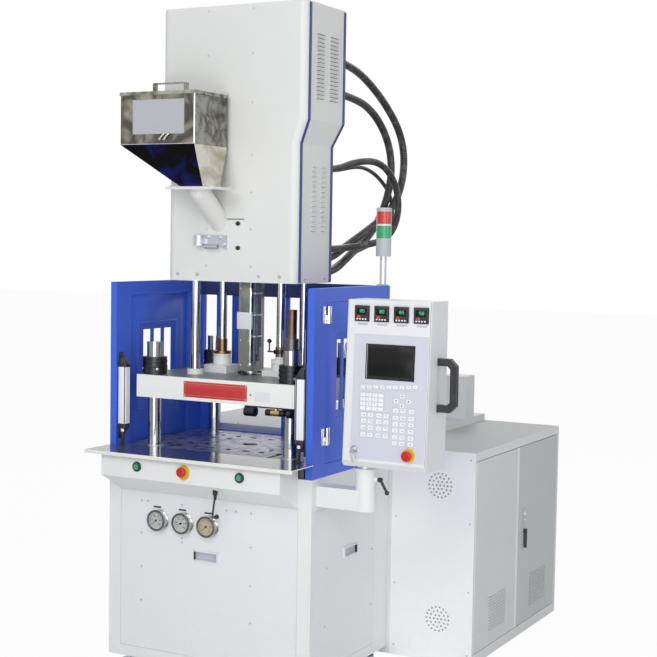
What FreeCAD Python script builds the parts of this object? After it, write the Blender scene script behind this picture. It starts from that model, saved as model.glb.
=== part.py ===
"""Vertical injection moulding machine, in millimetres.

The machine stands on the floor at Z = 0 with its operator side towards -Y.  Pieces are laid out
about the clamp centre line (X = 0) and the front face of the base (Y = 0), and every piece is
then placed so that the origin is the middle of the machine's footprint.
"""
import FreeCAD, Part
import math
import os
import re

import Sketcher

V = FreeCAD.Vector

doc = FreeCAD.newDocument("moulding_machine")
sheet = doc.addObject("Spreadsheet::Sheet", "dims")

# ------------------------------------------------------------------ driving dimensions
SIZES = {
    "Base": {
        "base_w": 966, "base_front": 0, "base_d": 688, "base_h": 868, "base_wall": 6,
        "deck_t": 20, "foot_h": 45,
        "foot_r": 32, "foot_stem_r": 9, "foot_inset": 62, "panel_t": 3, "panel_gap": 1.5,
        "panel_lap": 20, "panel_low": 90, "front_panel_half": "=base_w / 2 - 59",
        "front_panel_top": "=base_h - 118", "side_panel_front": 18,
        "side_panel_rear": "=base_d - 132", "side_panel_top": "=base_h - 126", "pull_w": 110,
        "pull_h": 34, "pull_out": 9, "pull_height": "=front_panel_top - 238",
        "side_pull_at": "=base_d / 2 - 13",
    },
    "Work table": {
        "table_h": "=base_h + 61", "bolster_half": "=base_w / 2 - 33", "bolster_front": 58,
        "bolster_rear": "=base_d - 38", "tray_t": 4, "tray_half": "=base_w / 2 + 5",
        "tray_front": 166, "tray_gap": 2, "eject_r": 32, "mould_hole_r": 7, "mould_hole_depth": 32,
        "mould_pitch_x": 350, "mould_pitch_y": 250, "inner_pitch_x": 200, "inner_pitch_y": 350,
        "slot_w": 18, "slot_depth": 22, "slot_at_x": 250,
    },
    "Button box": {
        "box_half": "=base_w / 2 - 62", "box_out": 140, "box_top": "=table_h - tray_t",
        "box_low": "=base_h - 41", "box_foot": "=base_h - 116", "box_wall": 3, "start_at_x": 242,
        "start_height": "=base_h + 8", "start_r": 11, "bezel_r": 15, "start_travel_room": 12,
        "bezel_t": 5, "button_proud": 4, "button_travel": 4, "stop_ring_r": 26, "stop_ring_t": 2,
        "stop_head_r": 20, "stop_head_t": 12, "stop_stem_r": 10, "stop_stem": 14, "stop_travel": 5,
        "front_stop_x": -17, "button_fit": 0.4,
    },
    "Gauges": {
        "gauge_r": 42, "gauge_depth": 12, "gauge_recess": 5, "gauge_rim": 4, "gauge_x": -115,
        "gauge_pitch": 121, "gauge_height": "=front_panel_top - 115", "gauge_back_r": 30,
        "gauge_back": 34,
    },
    "Clamp": {
        "tie_r": 27.5, "tie_pitch_x": 656, "tie_pitch_y": "=base_d - 226",
        "mid_y": "=base_d / 2 - 13", "tie_fit": 0.05, "tie_low": 236, "tie_top": "=table_h + 435",
        "collar_r": 50, "collar_h": 72, "nut_r": 34, "bush_r": 38, "bush_proud": 3,
        "platen_half": 377, "platen_d": "=base_d - 104", "platen_low": "=table_h + 206",
        "platen_t": 94, "nozzle_bore_r": 25, "locate_r": 50, "locate_depth": 15, "cross_low": 240,
        "cross_t": 50, "cross_half": 385, "cross_d": "=base_d - 128", "cylinder_r": 105,
        "cylinder_low": "=base_h - 308", "cylinder_wall": 18, "ram_r": 62,
        "ram_top": "=base_h - 283", "clamp_stroke": 250,
    },
    "Injection carriage": {
        "cyl_rod_r": 18, "cyl_rod_x": 143, "guide_r": 20, "guide_x": 185, "guide_front": 143,
        "guide_rear": 122,
        "rod_top": "=table_h + 1121", "rod_fit": 0.05, "flange_side": 112, "flange_t": 12,
        "flange_r": 38, "flange_h": 66, "collar_rod_r": 21, "collar_rod_h": 56,
        "carriage_stroke": 200, "carriage_t": 45, "carriage_inset": 5,
        "cover_low": "=table_h + 691", "cover_top": "=cover_low + 1120",
        "cover_step_low": "=cover_low + 560", "cover_step_top": "=cover_low + 655",
        "cover_half_low": 307, "cover_half_top": 341, "cover_front": "=mid_y - 175",
        "cover_rear_low": "=mid_y + 151", "cover_rear_top": "=mid_y + 183", "cover_round": 30,
        "cover_wall": 3, "trim_front": "=cover_front + 32",
        "trim_rear_low": "=cover_rear_low - 36", "trim_rear_top": "=cover_rear_top - 34",
        "trim_w": 14, "trim_t": 4, "louvre_l": 66, "louvre_rise": 7, "louvre_h": 9,
        "louvre_pitch": 16, "louvre_gap": 46, "upper_louvre_count": 17, "lower_louvre_count": 14,
        "lower_pitch": 20, "upper_louvre_low": "=cover_step_top + 87",
        "lower_louvre_low": "=cover_low + 212", "lower_louvre_l": 40, "barrel_r": 28.5,
        "barrel_bore_r": 16.05, "barrel_low": "=platen_low + 101",
        "barrel_top": "=cover_low + 380", "nozzle_r": 14, "nozzle_low": "=platen_low + 45",
        "feed_screw_r": 16, "feed_screw_low": "=barrel_low + 26",
        "feed_screw_top": "=barrel_top + 150", "drive_side": 190, "drive_t": 60, "drive_h": 170,
        "motor_case_r": 78, "shroud_w": 62, "shroud_d": 104, "shroud_low": "=barrel_low + 9",
        "shroud_wall": 2,
    },
    "Hopper": {
        "hopper_x": -187, "hopper_w": 356, "hopper_front": "=258 - cover_front", "hopper_d": 242,
        "hopper_top": "=cover_low + 752", "hopper_shoulder": "=cover_low + 545",
        "hopper_low": "=cover_low + 380", "hopper_wall": 2, "throat_x": -60,
        "throat_y": "=cover_front - 136", "throat_half": 58, "lid_lap": 9, "lid_h": 14, "lid_t": 2,
        "lid_fit": 1, "lid_handle_w": 154, "lid_handle_h": 44, "lid_strap_t": 3,
        "lid_strap_w": 32, "lid_handle_x": -199,
        "lid_axis_y": "=cover_front - 10", "lid_axis_z": "=hopper_top - 5", "gate_t": 11,
        "gate_half": 112, "chute_r": 41, "chute_wall": 3, "chute_neck": 8,
        "chute_end": "=cover_low + 254", "feed_at": "=cover_low + 190",
    },
    "Control panel": {
        "panel_left": "=base_w / 2 + 135", "panel_right": "=panel_left + 350",
        "panel_low_z": "=base_h + 73", "panel_top_z": "=panel_low_z + 634", "panel_y_low": -20,
        "panel_y_top": 12, "panel_y_rear": 163, "panel_chin": 24, "panel_wall": 3,
        "panel_round": 12, "face_left": "=panel_left + 38", "face_right": "=panel_left + 343",
        "face_low": "=panel_low_z + 35", "face_top": "=panel_low_z + 505", "face_t": 2,
        "screen_left": "=panel_left + 89", "screen_right": "=panel_left + 294",
        "screen_low": "=panel_low_z + 337", "screen_top": "=panel_low_z + 471",
        "reg_first_x": "=panel_left + 67", "reg_side": 56, "reg_pitch": 81.5,
        "reg_z": "=panel_low_z + 583", "reg_proud": 7, "reg_depth": 66,
        "panel_stop_x": "=panel_left + 281", "panel_stop_z": "=panel_low_z + 63",
        "key_x": "=panel_left + 56", "key_z": "=panel_low_z + 69", "key_r": 9, "key_body_r": 14,
        "key_proud": 6, "key_fit": 0.06, "handle_out": 77, "handle_low": "=panel_low_z + 235",
        "handle_top": "=panel_low_z + 409", "handle_w": 28, "handle_t": 24, "handle_bevel": 26,
        "handle_y": 73, "column_x": "=panel_left + 59", "column_y": 80, "column_r": 42,
        "column_low": "=base_h - 108", "cap_r": 47, "cap_h": 14, "column_top": "=base_h + 58",
        "beam_low": "=base_h - 107", "beam_h": 80, "beam_d": 80, "swivel_gap": 0.5, "swivel_r": 22,
        "swivel_fit": 0.05, "swivel_depth": 60, "lever_z": "=base_h + 16", "lever_hub_r": 9,
        "lever_hub": 15, "lever_boss_r": 11, "lever_boss": 10, "lever_shaft_r": 5,
        "lever_fit": 0.06, "lever_l": 56, "lever_r": 5.5,
    },
    "Guards": {
        "guard_t": 30, "guard_top": "=base_h + 742", "guard_rear_y": "=base_d - 38",
        "guard_low": "=base_h", "door_front": 103, "door_rear": "=guard_rear_y - 118",
        "door_low": "=base_h + 50", "door_top": "=guard_top - 54", "door_gap": 2, "door_t": 20,
        "slot_first": 204, "slot_wide": 52, "slot_pitch": 77, "slot_low": "=door_low + 202",
        "slot_top": "=door_top - 154", "frame_front": 156, "frame_rear": "=door_rear - 76",
        "frame_top": "=slot_top + 38", "frame_low": "=slot_low - 70", "frame_t": 3, "hinge_r": 7,
        "hinge_pin_r": 3.5, "hinge_h": 34, "hinge_out": 9, "pin_fit": 0.06,
        "hinge_low": "=door_low + 76", "hinge_top": "=door_top - 84", "hinge_gap": 0.4,
        "rear_t": 28, "rear_rail_low": "=guard_top - 69", "curtain_w": 36, "curtain_d": 34,
        "curtain_y": 9, "curtain_gap": 4, "left_bar_low": "=base_h + 108",
        "left_bar_top": "=guard_top - 314", "right_bar_low": "=base_h + 132",
        "right_bar_top": "=guard_top - 351", "bracket_h": 22, "light_x": "=base_w / 2 - 4",
        "light_y": "=guard_rear_y - 48", "pole_r": 4, "pole_gap": 22, "lamp_r": 32,
        "lamp_low": "=guard_top + 122", "lamp_base": 76, "lens_h": 52, "lens_gap": 8,
        "lamp_cap": 16, "lamp_core_r": 22,
    },
    "Rear cabinet": {
        "cab_left": 588, "cab_right": 882, "cab_front": "=base_d + 1",
        "cab_rear": "=cab_front + 1056", "cab_h": 920, "cab_wall": 4, "plinth_low": 16,
        "plinth_top": 52, "plinth_in": 40, "leaf_low": 60, "leaf_top": "=cab_h - 36",
        "leaf_front": "=cab_front + 11", "leaf_split": "=cab_front + 512",
        "leaf_rear": "=cab_rear - 23", "leaf_gap": 3, "leaf_t": 18, "leaf_skin": 2,
        "leaf_edge": 14, "leaf_pin_r": 2.5, "leaf_pin_in": 4, "leaf_pin_edge": 6,
        "vent_x": "=cab_right - 159", "vent_low": 199, "vent_top": "=cab_h - 149",
        "vent_hole_r": 4.5, "vent_ring": 17, "hood_out": 5, "hood_h": 8, "hood_low": 120,
        "hood_pitch": 13, "hood_count": 13, "knob_y": "=leaf_split + 81", "knob_z": 497,
        "knob_l": 86, "knob_w": 18, "knob_off": 14, "knob_r": 12, "knob_shaft_r": 6,
        "lid_right": "=cab_right - 382", "lid_front": "=cab_front + 11",
        "lid_rear": "=cab_rear - 6", "lid_rise": 33, "lid_sheet": 3, "jbox_x": "=lid_right - 120",
        "jbox_w": 120, "jbox_front": "=cab_front + 791", "jbox_d": 115, "jbox_h": 202,
        "gear_x": "=cab_right - 242", "gear_t": 5, "gear_front": "=cab_front + 71",
        "gear_rear": "=cab_rear - 105", "gear_low": 130, "gear_top": "=cab_h - 130",
        "motor_x": "=168 - cab_left", "motor_y": "=cab_front + 491", "motor_r": 110,
        "motor_l": 330, "pump_r": 62, "pump_l": 150, "motor_up": 190,
    },
    "Hoses": {
        "hose_r": 17, "small_hose_r": 15, "branch_r": 9, "cable_r": 4, "gland_r": 9, "gland_x": 57,
        "gland_z": "=base_h - 185",
    },
}

row = 1
ALIASES = set()
for group, values in SIZES.items():
    sheet.set(f"A{row}", group)
    row += 1
    for alias, value in values.items():
        sheet.set(f"A{row}", alias)
        sheet.set(f"B{row}", str(value))
        sheet.setAlias(f"B{row}", alias)
        ALIASES.add(alias)
        row += 1
doc.recompute()


def ex(text):
    """Turn a formula over sheet names into an expression of the document."""
    return re.sub(r"[a-z][a-z_]*", lambda m: "dims." + m[0] if m[0] in ALIASES else m[0], str(text))


def size(alias):
    return float(sheet.get(alias))


# ------------------------------------------------------------------ the frame's origin
LEFT = "(-cab_left)"
RIGHT = "(panel_right + handle_out)"
FRONT = "(-(box_out + stop_ring_t + stop_stem + stop_head_t))"
SHIFT_X = f"-({LEFT} + {RIGHT}) / 2"
SHIFT_Y = f"-({FRONT} + cab_rear) / 2"

NODES = []


def node(obj, label):
    """Name a finished sub-part and set it about the middle of the footprint."""
    if obj.TypeId in ("Part::Cylinder", "Part::Box"):
        obj = group(obj)
    obj.Label = label
    obj.setExpression("Placement.Base.x", ex(SHIFT_X))
    obj.setExpression("Placement.Base.y", ex(SHIFT_Y))
    NODES.append(obj)
    return obj


# ------------------------------------------------------------------ primitives and booleans
counter = [0]


def fresh(kind, stem):
    counter[0] += 1
    return doc.addObject(kind, f"{stem}_{counter[0]}")


def box(x, y, z):
    """A block between three pairs of formulas."""
    made = fresh("Part::Box", "block")
    for prop, axis, (low, high) in (("Length", "x", x), ("Width", "y", y), ("Height", "z", z)):
        made.setExpression(prop, ex(f"({high}) - ({low})"))
        made.setExpression(f"Placement.Base.{axis}", ex(low))
    return made


TURNS = {
    "z": FreeCAD.Rotation(),
    "x": FreeCAD.Rotation(V(0, 1, 0), 90),
    "y": FreeCAD.Rotation(V(1, 0, 0), -90),
}


def rod(axis, at, radius, length):
    """A cylinder from the point at, along an axis."""
    made = fresh("Part::Cylinder", "rod")
    made.Placement = FreeCAD.Placement(V(), TURNS[axis])
    made.setExpression("Radius", ex(radius))
    made.setExpression("Height", ex(length))
    for letter, place in zip("xyz", at):
        made.setExpression(f"Placement.Base.{letter}", ex(place))
    return made


def cone(axis, at, low_radius, high_radius, length):
    made = fresh("Part::Cone", "taper")
    made.Placement = FreeCAD.Placement(V(), TURNS[axis])
    made.setExpression("Radius1", ex(low_radius))
    made.setExpression("Radius2", ex(high_radius))
    made.setExpression("Height", ex(length))
    for letter, place in zip("xyz", at):
        made.setExpression(f"Placement.Base.{letter}", ex(place))
    return made


def fuse(*pieces):
    if len(pieces) == 1:
        return pieces[0]
    made = fresh("Part::MultiFuse", "joined")
    made.Shapes = list(pieces)
    made.Refine = True
    return made


def cut(base, *tools):
    made = fresh("Part::Cut", "cut")
    made.Base = base
    made.Tool = fuse(*tools)
    made.Refine = True
    return made


def group(*pieces):
    """Separate solids that share a node."""
    made = fresh("Part::Compound", "set")
    made.Links = list(pieces)
    return made


# ------------------------------------------------------------------ sketched bodies
ROLES = {"xy": "XY_Plane", "xz": "XZ_Plane", "yz": "YZ_Plane"}
LINES = {"x": "X_Axis", "y": "Y_Axis", "z": "Z_Axis"}


def origin_feature(body, role):
    return next(item for item in body.Origin.OriginFeatures if item.Role == role)


def pin_to(sketch, kind, index, point, value):
    """Hold a sketch point at a formula from the sketch's origin."""
    made = sketch.addConstraint(Sketcher.Constraint(kind, -1, 1, index, point, 1.0))
    sketch.setExpression(f"Constraints[{made}]", ex(value))


def draw_polygon(sketch, points):
    first = sketch.GeometryCount
    count = len(points)
    rough = [V(math.cos(math.tau * i / count), math.sin(math.tau * i / count), 0)
             for i in range(count)]
    for i in range(count):
        sketch.addGeometry(Part.LineSegment(rough[i], rough[(i + 1) % count]), False)
    for i in range(count):
        follow = first + (i + 1) % count
        sketch.addConstraint(Sketcher.Constraint("Coincident", first + i, 2, follow, 1))
    for i, (across, up) in enumerate(points):
        pin_to(sketch, "DistanceX", first + i, 1, across)
        pin_to(sketch, "DistanceY", first + i, 1, up)


def draw_circle(sketch, across, up, radius):
    index = sketch.addGeometry(Part.Circle(V(0, 0, 0), V(0, 0, 1), 1.0), False)
    pin_to(sketch, "DistanceX", index, 3, across)
    pin_to(sketch, "DistanceY", index, 3, up)
    made = sketch.addConstraint(Sketcher.Constraint("Radius", index, 1.0))
    sketch.setExpression(f"Constraints[{made}]", ex(radius))


def rect(left, right, low, high):
    return ("polygon", [(left, low), (right, low), (right, high), (left, high)])


def polygon(*points):
    return ("polygon", list(points))


def circle(across, up, radius):
    return ("circle", (across, up, radius))


class Piece:
    """A body built up from sketches on its own origin planes."""

    def __init__(self):
        self.body = fresh("PartDesign::Body", "body")

    def sketch(self, plane, offset, shapes):
        made = self.body.newObject("Sketcher::SketchObject", "")
        made.AttachmentSupport = (origin_feature(self.body, ROLES[plane]), [""])
        made.MapMode = "FlatFace"
        made.setExpression("AttachmentOffset.Base.z", ex(offset))
        for kind, data in shapes:
            if kind == "polygon":
                draw_polygon(made, data)
            else:
                draw_circle(made, *data)
        made.Visibility = False
        return made

    def pad(self, plane, low, high, *shapes):
        """Add material between two heights over a plane."""
        flipped = plane == "xz"
        made_sketch = self.sketch(plane, f"-({low})" if flipped else low, shapes)
        made = self.body.newObject("PartDesign::Pad", "")
        made.Profile = made_sketch
        made.Reversed = flipped
        made.setExpression("Length", ex(f"({high}) - ({low})"))
        return made

    def pocket(self, plane, low, high, *shapes):
        """Take material away between two heights over a plane."""
        flipped = plane == "xz"
        made_sketch = self.sketch(plane, f"-({low})" if flipped else high, shapes)
        made = self.body.newObject("PartDesign::Pocket", "")
        made.Profile = made_sketch
        made.setExpression("Length", ex(f"({high}) - ({low})"))
        return made

    def repeat(self, features, axis, pitch, count):
        made = self.body.newObject("PartDesign::LinearPattern", "")
        made.Originals = list(features)
        made.Direction = (origin_feature(self.body, LINES[axis]), [""])
        made.setExpression("Length", ex(f"({pitch}) * ({count} - 1)"))
        made.setExpression("Occurrences", ex(count))
        self.body.Tip = made
        return made

    def round_edges(self, radius, choose):
        """Round the edges of the body so far for which choose(edge) is true."""
        doc.recompute()
        base = self.body.Tip
        names = [f"Edge{i + 1}" for i, edge in enumerate(base.Shape.Edges) if choose(edge)]
        made = self.body.newObject("PartDesign::Fillet", "")
        made.Base = (base, names)
        made.setExpression("Radius", ex(radius))
        self.body.Tip = made
        return made

    def done(self, label):
        return node(self.body, label)


def runs_along(axis):
    """Choose straight edges that lie along one axis."""
    way = {"x": V(1, 0, 0), "y": V(0, 1, 0), "z": V(0, 0, 1)}[axis]

    def choose(edge):
        if edge.Curve.TypeId != "Part::GeomLine":
            return False
        return abs(edge.Curve.Direction.dot(way)) > 0.999

    return choose


# ------------------------------------------------------------------ base
BACK = "base_d"
DECK = "(base_h - deck_t)"


def base_frame():
    piece = Piece()
    half = "base_w / 2"
    piece.pad("xy", "foot_h", "base_h", rect(f"-{half}", half, "0", BACK))
    piece.pocket("xy", "foot_h + base_wall", DECK,
                 rect(f"-{half} + base_wall", f"{half} - base_wall",
                      "base_wall", f"{BACK} - base_wall"))
    # front opening with its rebate
    side, top = "front_panel_half", "front_panel_top"
    piece.pocket("xz", "-1", "panel_t", rect(f"-{side}", side, "panel_low", top))
    piece.pocket("xz", "-1", "base_wall + 1",
                 rect(f"-{side} + panel_lap", f"{side} - panel_lap",
                      "panel_low + panel_lap", f"{top} - panel_lap"))
    # side openings, right and left
    opening = ("side_panel_front", "side_panel_rear", "panel_low", "side_panel_top")
    inner = ("side_panel_front + panel_lap", "side_panel_rear - panel_lap",
             "panel_low + panel_lap", "side_panel_top - panel_lap")
    piece.pocket("yz", f"{half} - panel_t", f"{half} + 1", rect(*opening))
    piece.pocket("yz", f"-{half} - 1", f"-{half} + panel_t", rect(*opening))
    piece.pocket("yz", f"-{half} - 2", f"{half} + 2", rect(*inner))
    # bores for the tie bars' bushes
    piece.pocket("xy", f"{DECK} - 1", "base_h + 1",
                 *[circle(f"{sx}tie_pitch_x / 2", f"mid_y {sy} tie_pitch_y / 2", "bush_r")
                   for sx in ("-", "") for sy in ("-", "+")])
    # four feet screw into the floor plate
    piece.pocket("xy", "foot_h - 1", "foot_h + base_wall + 1",
                 *[circle(f"{sx}({half} - foot_inset)", y, "foot_stem_r")
                   for sx in ("-", "") for y in ("foot_inset", f"{BACK} - foot_inset")])
    return piece.done("base_frame")


def front_panel():
    piece = Piece()
    low, high = "panel_low + panel_gap", "front_panel_top - panel_gap"
    side = "front_panel_half - panel_gap"
    piece.pad("xz", "0", "panel_t", rect(f"-({side})", side, low, high))
    # pressed pull handle: a shallow frame round an open slot
    wide, tall = "pull_w / 2 + 7", "pull_h / 2 + 4"
    piece.pad("xz", "-pull_out", "0", rect(f"-({wide})", wide, f"pull_height - ({tall})",
                                           f"pull_height + {tall}"))
    piece.pocket("xz", "-pull_out - 1", "panel_t + 1",
                 rect("-pull_w / 2", "pull_w / 2", "pull_height - pull_h / 2",
                      "pull_height + pull_h / 2"))
    # gauge seats
    piece.pocket("xz", "-1", "panel_t + 1",
                 *[circle(f"gauge_x + {i} * gauge_pitch", "gauge_height", "gauge_back_r")
                   for i in (-1, 0, 1)])
    # the button cable ends in a gland
    piece.pad("xz", "-9", "1", circle("gland_x", "gland_z", "gland_r"))
    return piece.done("front_panel")


def side_panels():
    parts = []
    half = "base_w / 2"
    low, high = "panel_low + panel_gap", "side_panel_top - panel_gap"
    front, rear = "side_panel_front + panel_gap", "side_panel_rear - panel_gap"
    for side in ("", "-"):
        piece = Piece()
        inner, outer = f"{half} - panel_t", f"{half}"
        near, far = f"{half}", f"{half} + pull_out"
        if side:
            inner, outer = f"-{half}", f"-({half} - panel_t)"
            near, far = f"-({half} + pull_out)", f"-{half}"
        piece.pad("yz", inner, outer, rect(front, rear, low, high))
        wide, tall = "pull_w / 2 + 7", "pull_h / 2 + 5"
        piece.pad("yz", near, far,
                  rect(f"side_pull_at - ({wide})", f"side_pull_at + {wide}",
                       f"pull_height + 22 - ({tall})", f"pull_height + 22 + {tall}"))
        piece.pocket("yz", f"-{half} - 12" if side else f"{half} - panel_t - 1",
                     f"-{half} + panel_t + 1" if side else f"{half} + 12",
                     rect("side_pull_at - pull_w / 2", "side_pull_at + pull_w / 2",
                          "pull_height + 22 - pull_h / 2", "pull_height + 22 + pull_h / 2"))
        parts.append(piece.body)
    return node(group(*parts), "side_panels")


def levelling_feet():
    feet = []
    for sx in ("-", ""):
        for y in ("foot_inset", f"{BACK} - foot_inset"):
            x = f"{sx}(base_w / 2 - foot_inset)"
            pad = rod("z", (x, y, "0"), "foot_r", "14")
            stem = rod("z", (x, y, "6"), "foot_stem_r", "foot_h + 20")
            nut = rod("z", (x, y, "foot_h - 12"), "foot_stem_r + 6", "12")
            feet.append(fuse(pad, stem, nut))
    for x in ("-cab_left + 80", "cab_right - 80"):
        for y in ("cab_front + 90", "cab_rear - 90"):
            feet.append(rod("z", (x, y, "0"), "foot_r", "plinth_low"))
    return node(group(*feet), "levelling_feet")


def gauge_cases():
    parts = []
    for i in (-1, 0, 1):
        x = f"gauge_x + {i} * gauge_pitch"
        z = "gauge_height"
        rim = rod("y", (x, "-gauge_depth", z), "gauge_r", "gauge_depth")
        well = rod("y", (x, "-gauge_depth - 1", z), "gauge_r - gauge_rim", "gauge_recess + 1")
        back = rod("y", (x, "-1", z), "gauge_back_r", "gauge_back")
        boss = rod("y", (x, "-gauge_depth + gauge_recess - 2", z), "3", "4")
        hand = box((f"{x} - 1", f"{x} + 1"),
                   ("-gauge_depth + gauge_recess - 1.5", "-gauge_depth + gauge_recess + 1"),
                   (f"{z} - 8", f"{z} + gauge_r * 0.66"))
        hand_turn = {-1: "-118", 0: "-96", 1: "-135"}[i]
        turned = fresh("Part::Compound", "hand")
        turned.Links = [hand]
        turned.Placement = FreeCAD.Placement(V(), FreeCAD.Rotation(V(0, 1, 0), float(hand_turn)))
        angle = math.radians(float(hand_turn))
        hand.setExpression("Placement.Base.x", "-1 mm")
        hand.setExpression("Placement.Base.z", "-8 mm")
        turned.setExpression("Placement.Base.x", ex(x))
        turned.setExpression("Placement.Base.z", ex(z))
        parts.append(fuse(cut(rim, well), back, boss, turned))
    return node(group(*parts), "gauge_cases")


# ------------------------------------------------------------------ button box and work table
def button_box():
    piece = Piece()
    outline = polygon(("0", "box_foot"), ("-box_out", "box_low"), ("-box_out", "box_top"),
                      ("0", "box_top"))
    piece.pad("yz", "-box_half", "box_half", outline)
    wall = "box_wall"
    hollow = polygon((f"-{wall}", f"box_foot + {wall} + 3"),
                     (f"-box_out + {wall}", f"box_low + {wall}"),
                     (f"-box_out + {wall}", f"box_top - {wall}"),
                     (f"-{wall}", f"box_top - {wall}"))
    piece.pocket("yz", f"-box_half + {wall}", f"box_half - {wall}", hollow)
    # seats of the two start buttons and the stop
    piece.pocket("xz", f"-box_out - 1", f"-box_out + {wall} + 1",
                 circle("-start_at_x", "start_height", "start_r + button_fit"),
                 circle("start_at_x", "start_height", "start_r + button_fit"),
                 circle("front_stop_x", "start_height", "stop_stem_r + button_fit"))
    body = piece.body
    rings = []
    for x in ("-start_at_x", "start_at_x"):
        ring = rod("y", (x, "-box_out - bezel_t", "start_height"), "bezel_r", "bezel_t + 0.5")
        hole = rod("y", (x, "-box_out - bezel_t - 1", "start_height"), "start_r + button_fit",
                   "bezel_t + 3")
        back = rod("y", (x, "-box_out + box_wall + 20", "start_height"), "bezel_r", "16")
        cup = rod("y", (x, "-box_out + box_wall - 0.5", "start_height"), "bezel_r", "21")
        cup_hole = rod("y", (x, "-box_out - 1", "start_height"), "start_r + button_fit",
                       "box_wall + 21")
        rings.append(cut(fuse(ring, cup, back), hole, cup_hole))
    ring = rod("y", ("front_stop_x", "-box_out - stop_ring_t", "start_height"), "stop_ring_r",
               "stop_ring_t + 0.5")
    cup = rod("y", ("front_stop_x", "-box_out + box_wall - 0.5", "start_height"),
              "bezel_r", "34")
    hole = rod("y", ("front_stop_x", "-box_out - stop_ring_t - 1", "start_height"),
               "stop_stem_r + button_fit", "stop_ring_t + box_wall + 24")
    rings.append(cut(fuse(ring, cup), hole))
    return body, rings


def start_button(x, label):
    depth = "start_travel_room"
    cap = rod("y", (x, "-box_out - bezel_t - button_proud", "start_height"), "start_r",
              f"bezel_t + button_proud + {depth}")
    return node(cap, label)


def stop_button(at, label):
    x, y, z = at
    head = rod("y", (x, f"{y} - stop_ring_t - stop_stem - stop_head_t", z), "stop_head_r",
               "stop_head_t")
    waist = cone("y", (x, f"{y} - stop_ring_t - stop_stem", z), "stop_head_r - 4",
                 "stop_stem_r", "stop_stem - stop_travel - 1")
    stem = rod("y", (x, f"{y} - stop_ring_t - stop_stem", z), "stop_stem_r",
               "stop_ring_t + stop_stem + 14")
    return node(fuse(head, waist, stem), label)


def work_tray():
    piece = Piece()
    low, high = "table_h - tray_t", "table_h"
    half, front = "tray_half", "-tray_front"
    rear_out = "-tray_gap"
    rear_in = "bolster_front - tray_gap"
    inner = "bolster_half"
    piece.pad("xy", low, high,
              polygon((f"-{half}", front), (half, front), (half, rear_out),
                      (inner, rear_out), (inner, rear_in), (f"-{inner}", rear_in),
                      (f"-{inner}", rear_out), (f"-{half}", rear_out)))
    # folded front lip and the bearers that stand on the base
    piece.pad("xy", "table_h - 14", "table_h - tray_t",
              rect(f"-{half}", half, front, f"{front} + 3"))
    piece.pad("xy", "base_h", "table_h - tray_t",
              rect(f"-{inner} + 8", f"-{inner} + 48", "8", rear_in),
              rect(f"{inner} - 48", f"{inner} - 8", "8", rear_in))
    return piece.done("work_tray")


def bolster_plate():
    piece = Piece()
    half = "bolster_half"
    piece.pad("xy", "base_h", "table_h", rect(f"-{half}", half, "bolster_front", "bolster_rear"))
    piece.pocket("xy", "base_h - 1", "table_h + 1", circle("0", "mid_y", "eject_r"))
    piece.pocket("xy", "base_h - 1", "table_h + 1",
                 *[circle(f"{sx}tie_pitch_x / 2", f"mid_y {sy} tie_pitch_y / 2", "bush_r")
                   for sx in ("-", "") for sy in ("-", "+")])
    piece.pocket("xy", "table_h - mould_hole_depth", "table_h + 1",
                 *[circle(f"{sx}mould_pitch_x / 2", f"mid_y {sy} mould_pitch_y / 2",
                          "mould_hole_r") for sx in ("-", "") for sy in ("-", "+")],
                 *[circle(f"{sx}inner_pitch_x / 2", f"mid_y {sy} inner_pitch_y / 2",
                          "mould_hole_r") for sx in ("-", "") for sy in ("-", "+")])
    # two clamping slots run out at the front
    piece.pocket("xy", "table_h - slot_depth", "table_h + 1",
                 rect("-slot_at_x - slot_w / 2", "-slot_at_x + slot_w / 2",
                      "bolster_front - 1", "mid_y - 150"),
                 rect("slot_at_x - slot_w / 2", "slot_at_x + slot_w / 2",
                      "bolster_front - 1", "mid_y - 150"))
    return piece.done("bolster_plate")


# ------------------------------------------------------------------ clamp
CORNERS = [(f"{sx}tie_pitch_x / 2", f"mid_y {sy} tie_pitch_y / 2")
           for sx in ("-", "") for sy in ("-", "+")]


def tie_bar_bushes():
    parts = []
    for x, y in CORNERS:
        sleeve = rod("z", (x, y, DECK), "bush_r", "table_h + bush_proud - base_h + deck_t")
        bore = rod("z", (x, y, f"{DECK} - 1"), "tie_r + tie_fit", "table_h - base_h + 40")
        parts.append(cut(sleeve, bore))
    return node(group(*parts), "tie_bar_bushes")


def tie_bars():
    return node(group(*[rod("z", (x, y, "tie_low"), "tie_r", "tie_top - tie_low - 10")
                        for x, y in CORNERS]), "tie_bars")


def tie_bar_nuts():
    parts = []
    for index, (x, y) in enumerate(CORNERS):
        top = "platen_low + platen_t"
        collar = rod("z", (x, y, top), "collar_r", "collar_h")
        nut = rod("z", (x, y, f"{top} + collar_h"), "nut_r", "tie_top - platen_low - platen_t - collar_h")
        bore = rod("z", (x, y, f"{top} - 1"), "tie_r", "tie_top - platen_low - platen_t - 9")
        parts.append(cut(fuse(collar, nut), bore))
        # lock nuts under the crosshead
        lock = rod("z", (x, y, "tie_low"), "tie_r + 12", "cross_low - tie_low")
        hole = rod("z", (x, y, "tie_low - 1"), "tie_r", "cross_low - tie_low + 2")
        parts.append(cut(lock, hole))
    front_right = CORNERS[2]
    sleeve = rod("z", (front_right[0], front_right[1], "tie_top"), "tie_r", "41")
    parts.append(sleeve)
    parts.append(rod("z", (front_right[0], front_right[1], "tie_top + 41"), "19.5", "115"))
    return node(group(*parts), "tie_bar_nuts")


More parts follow.
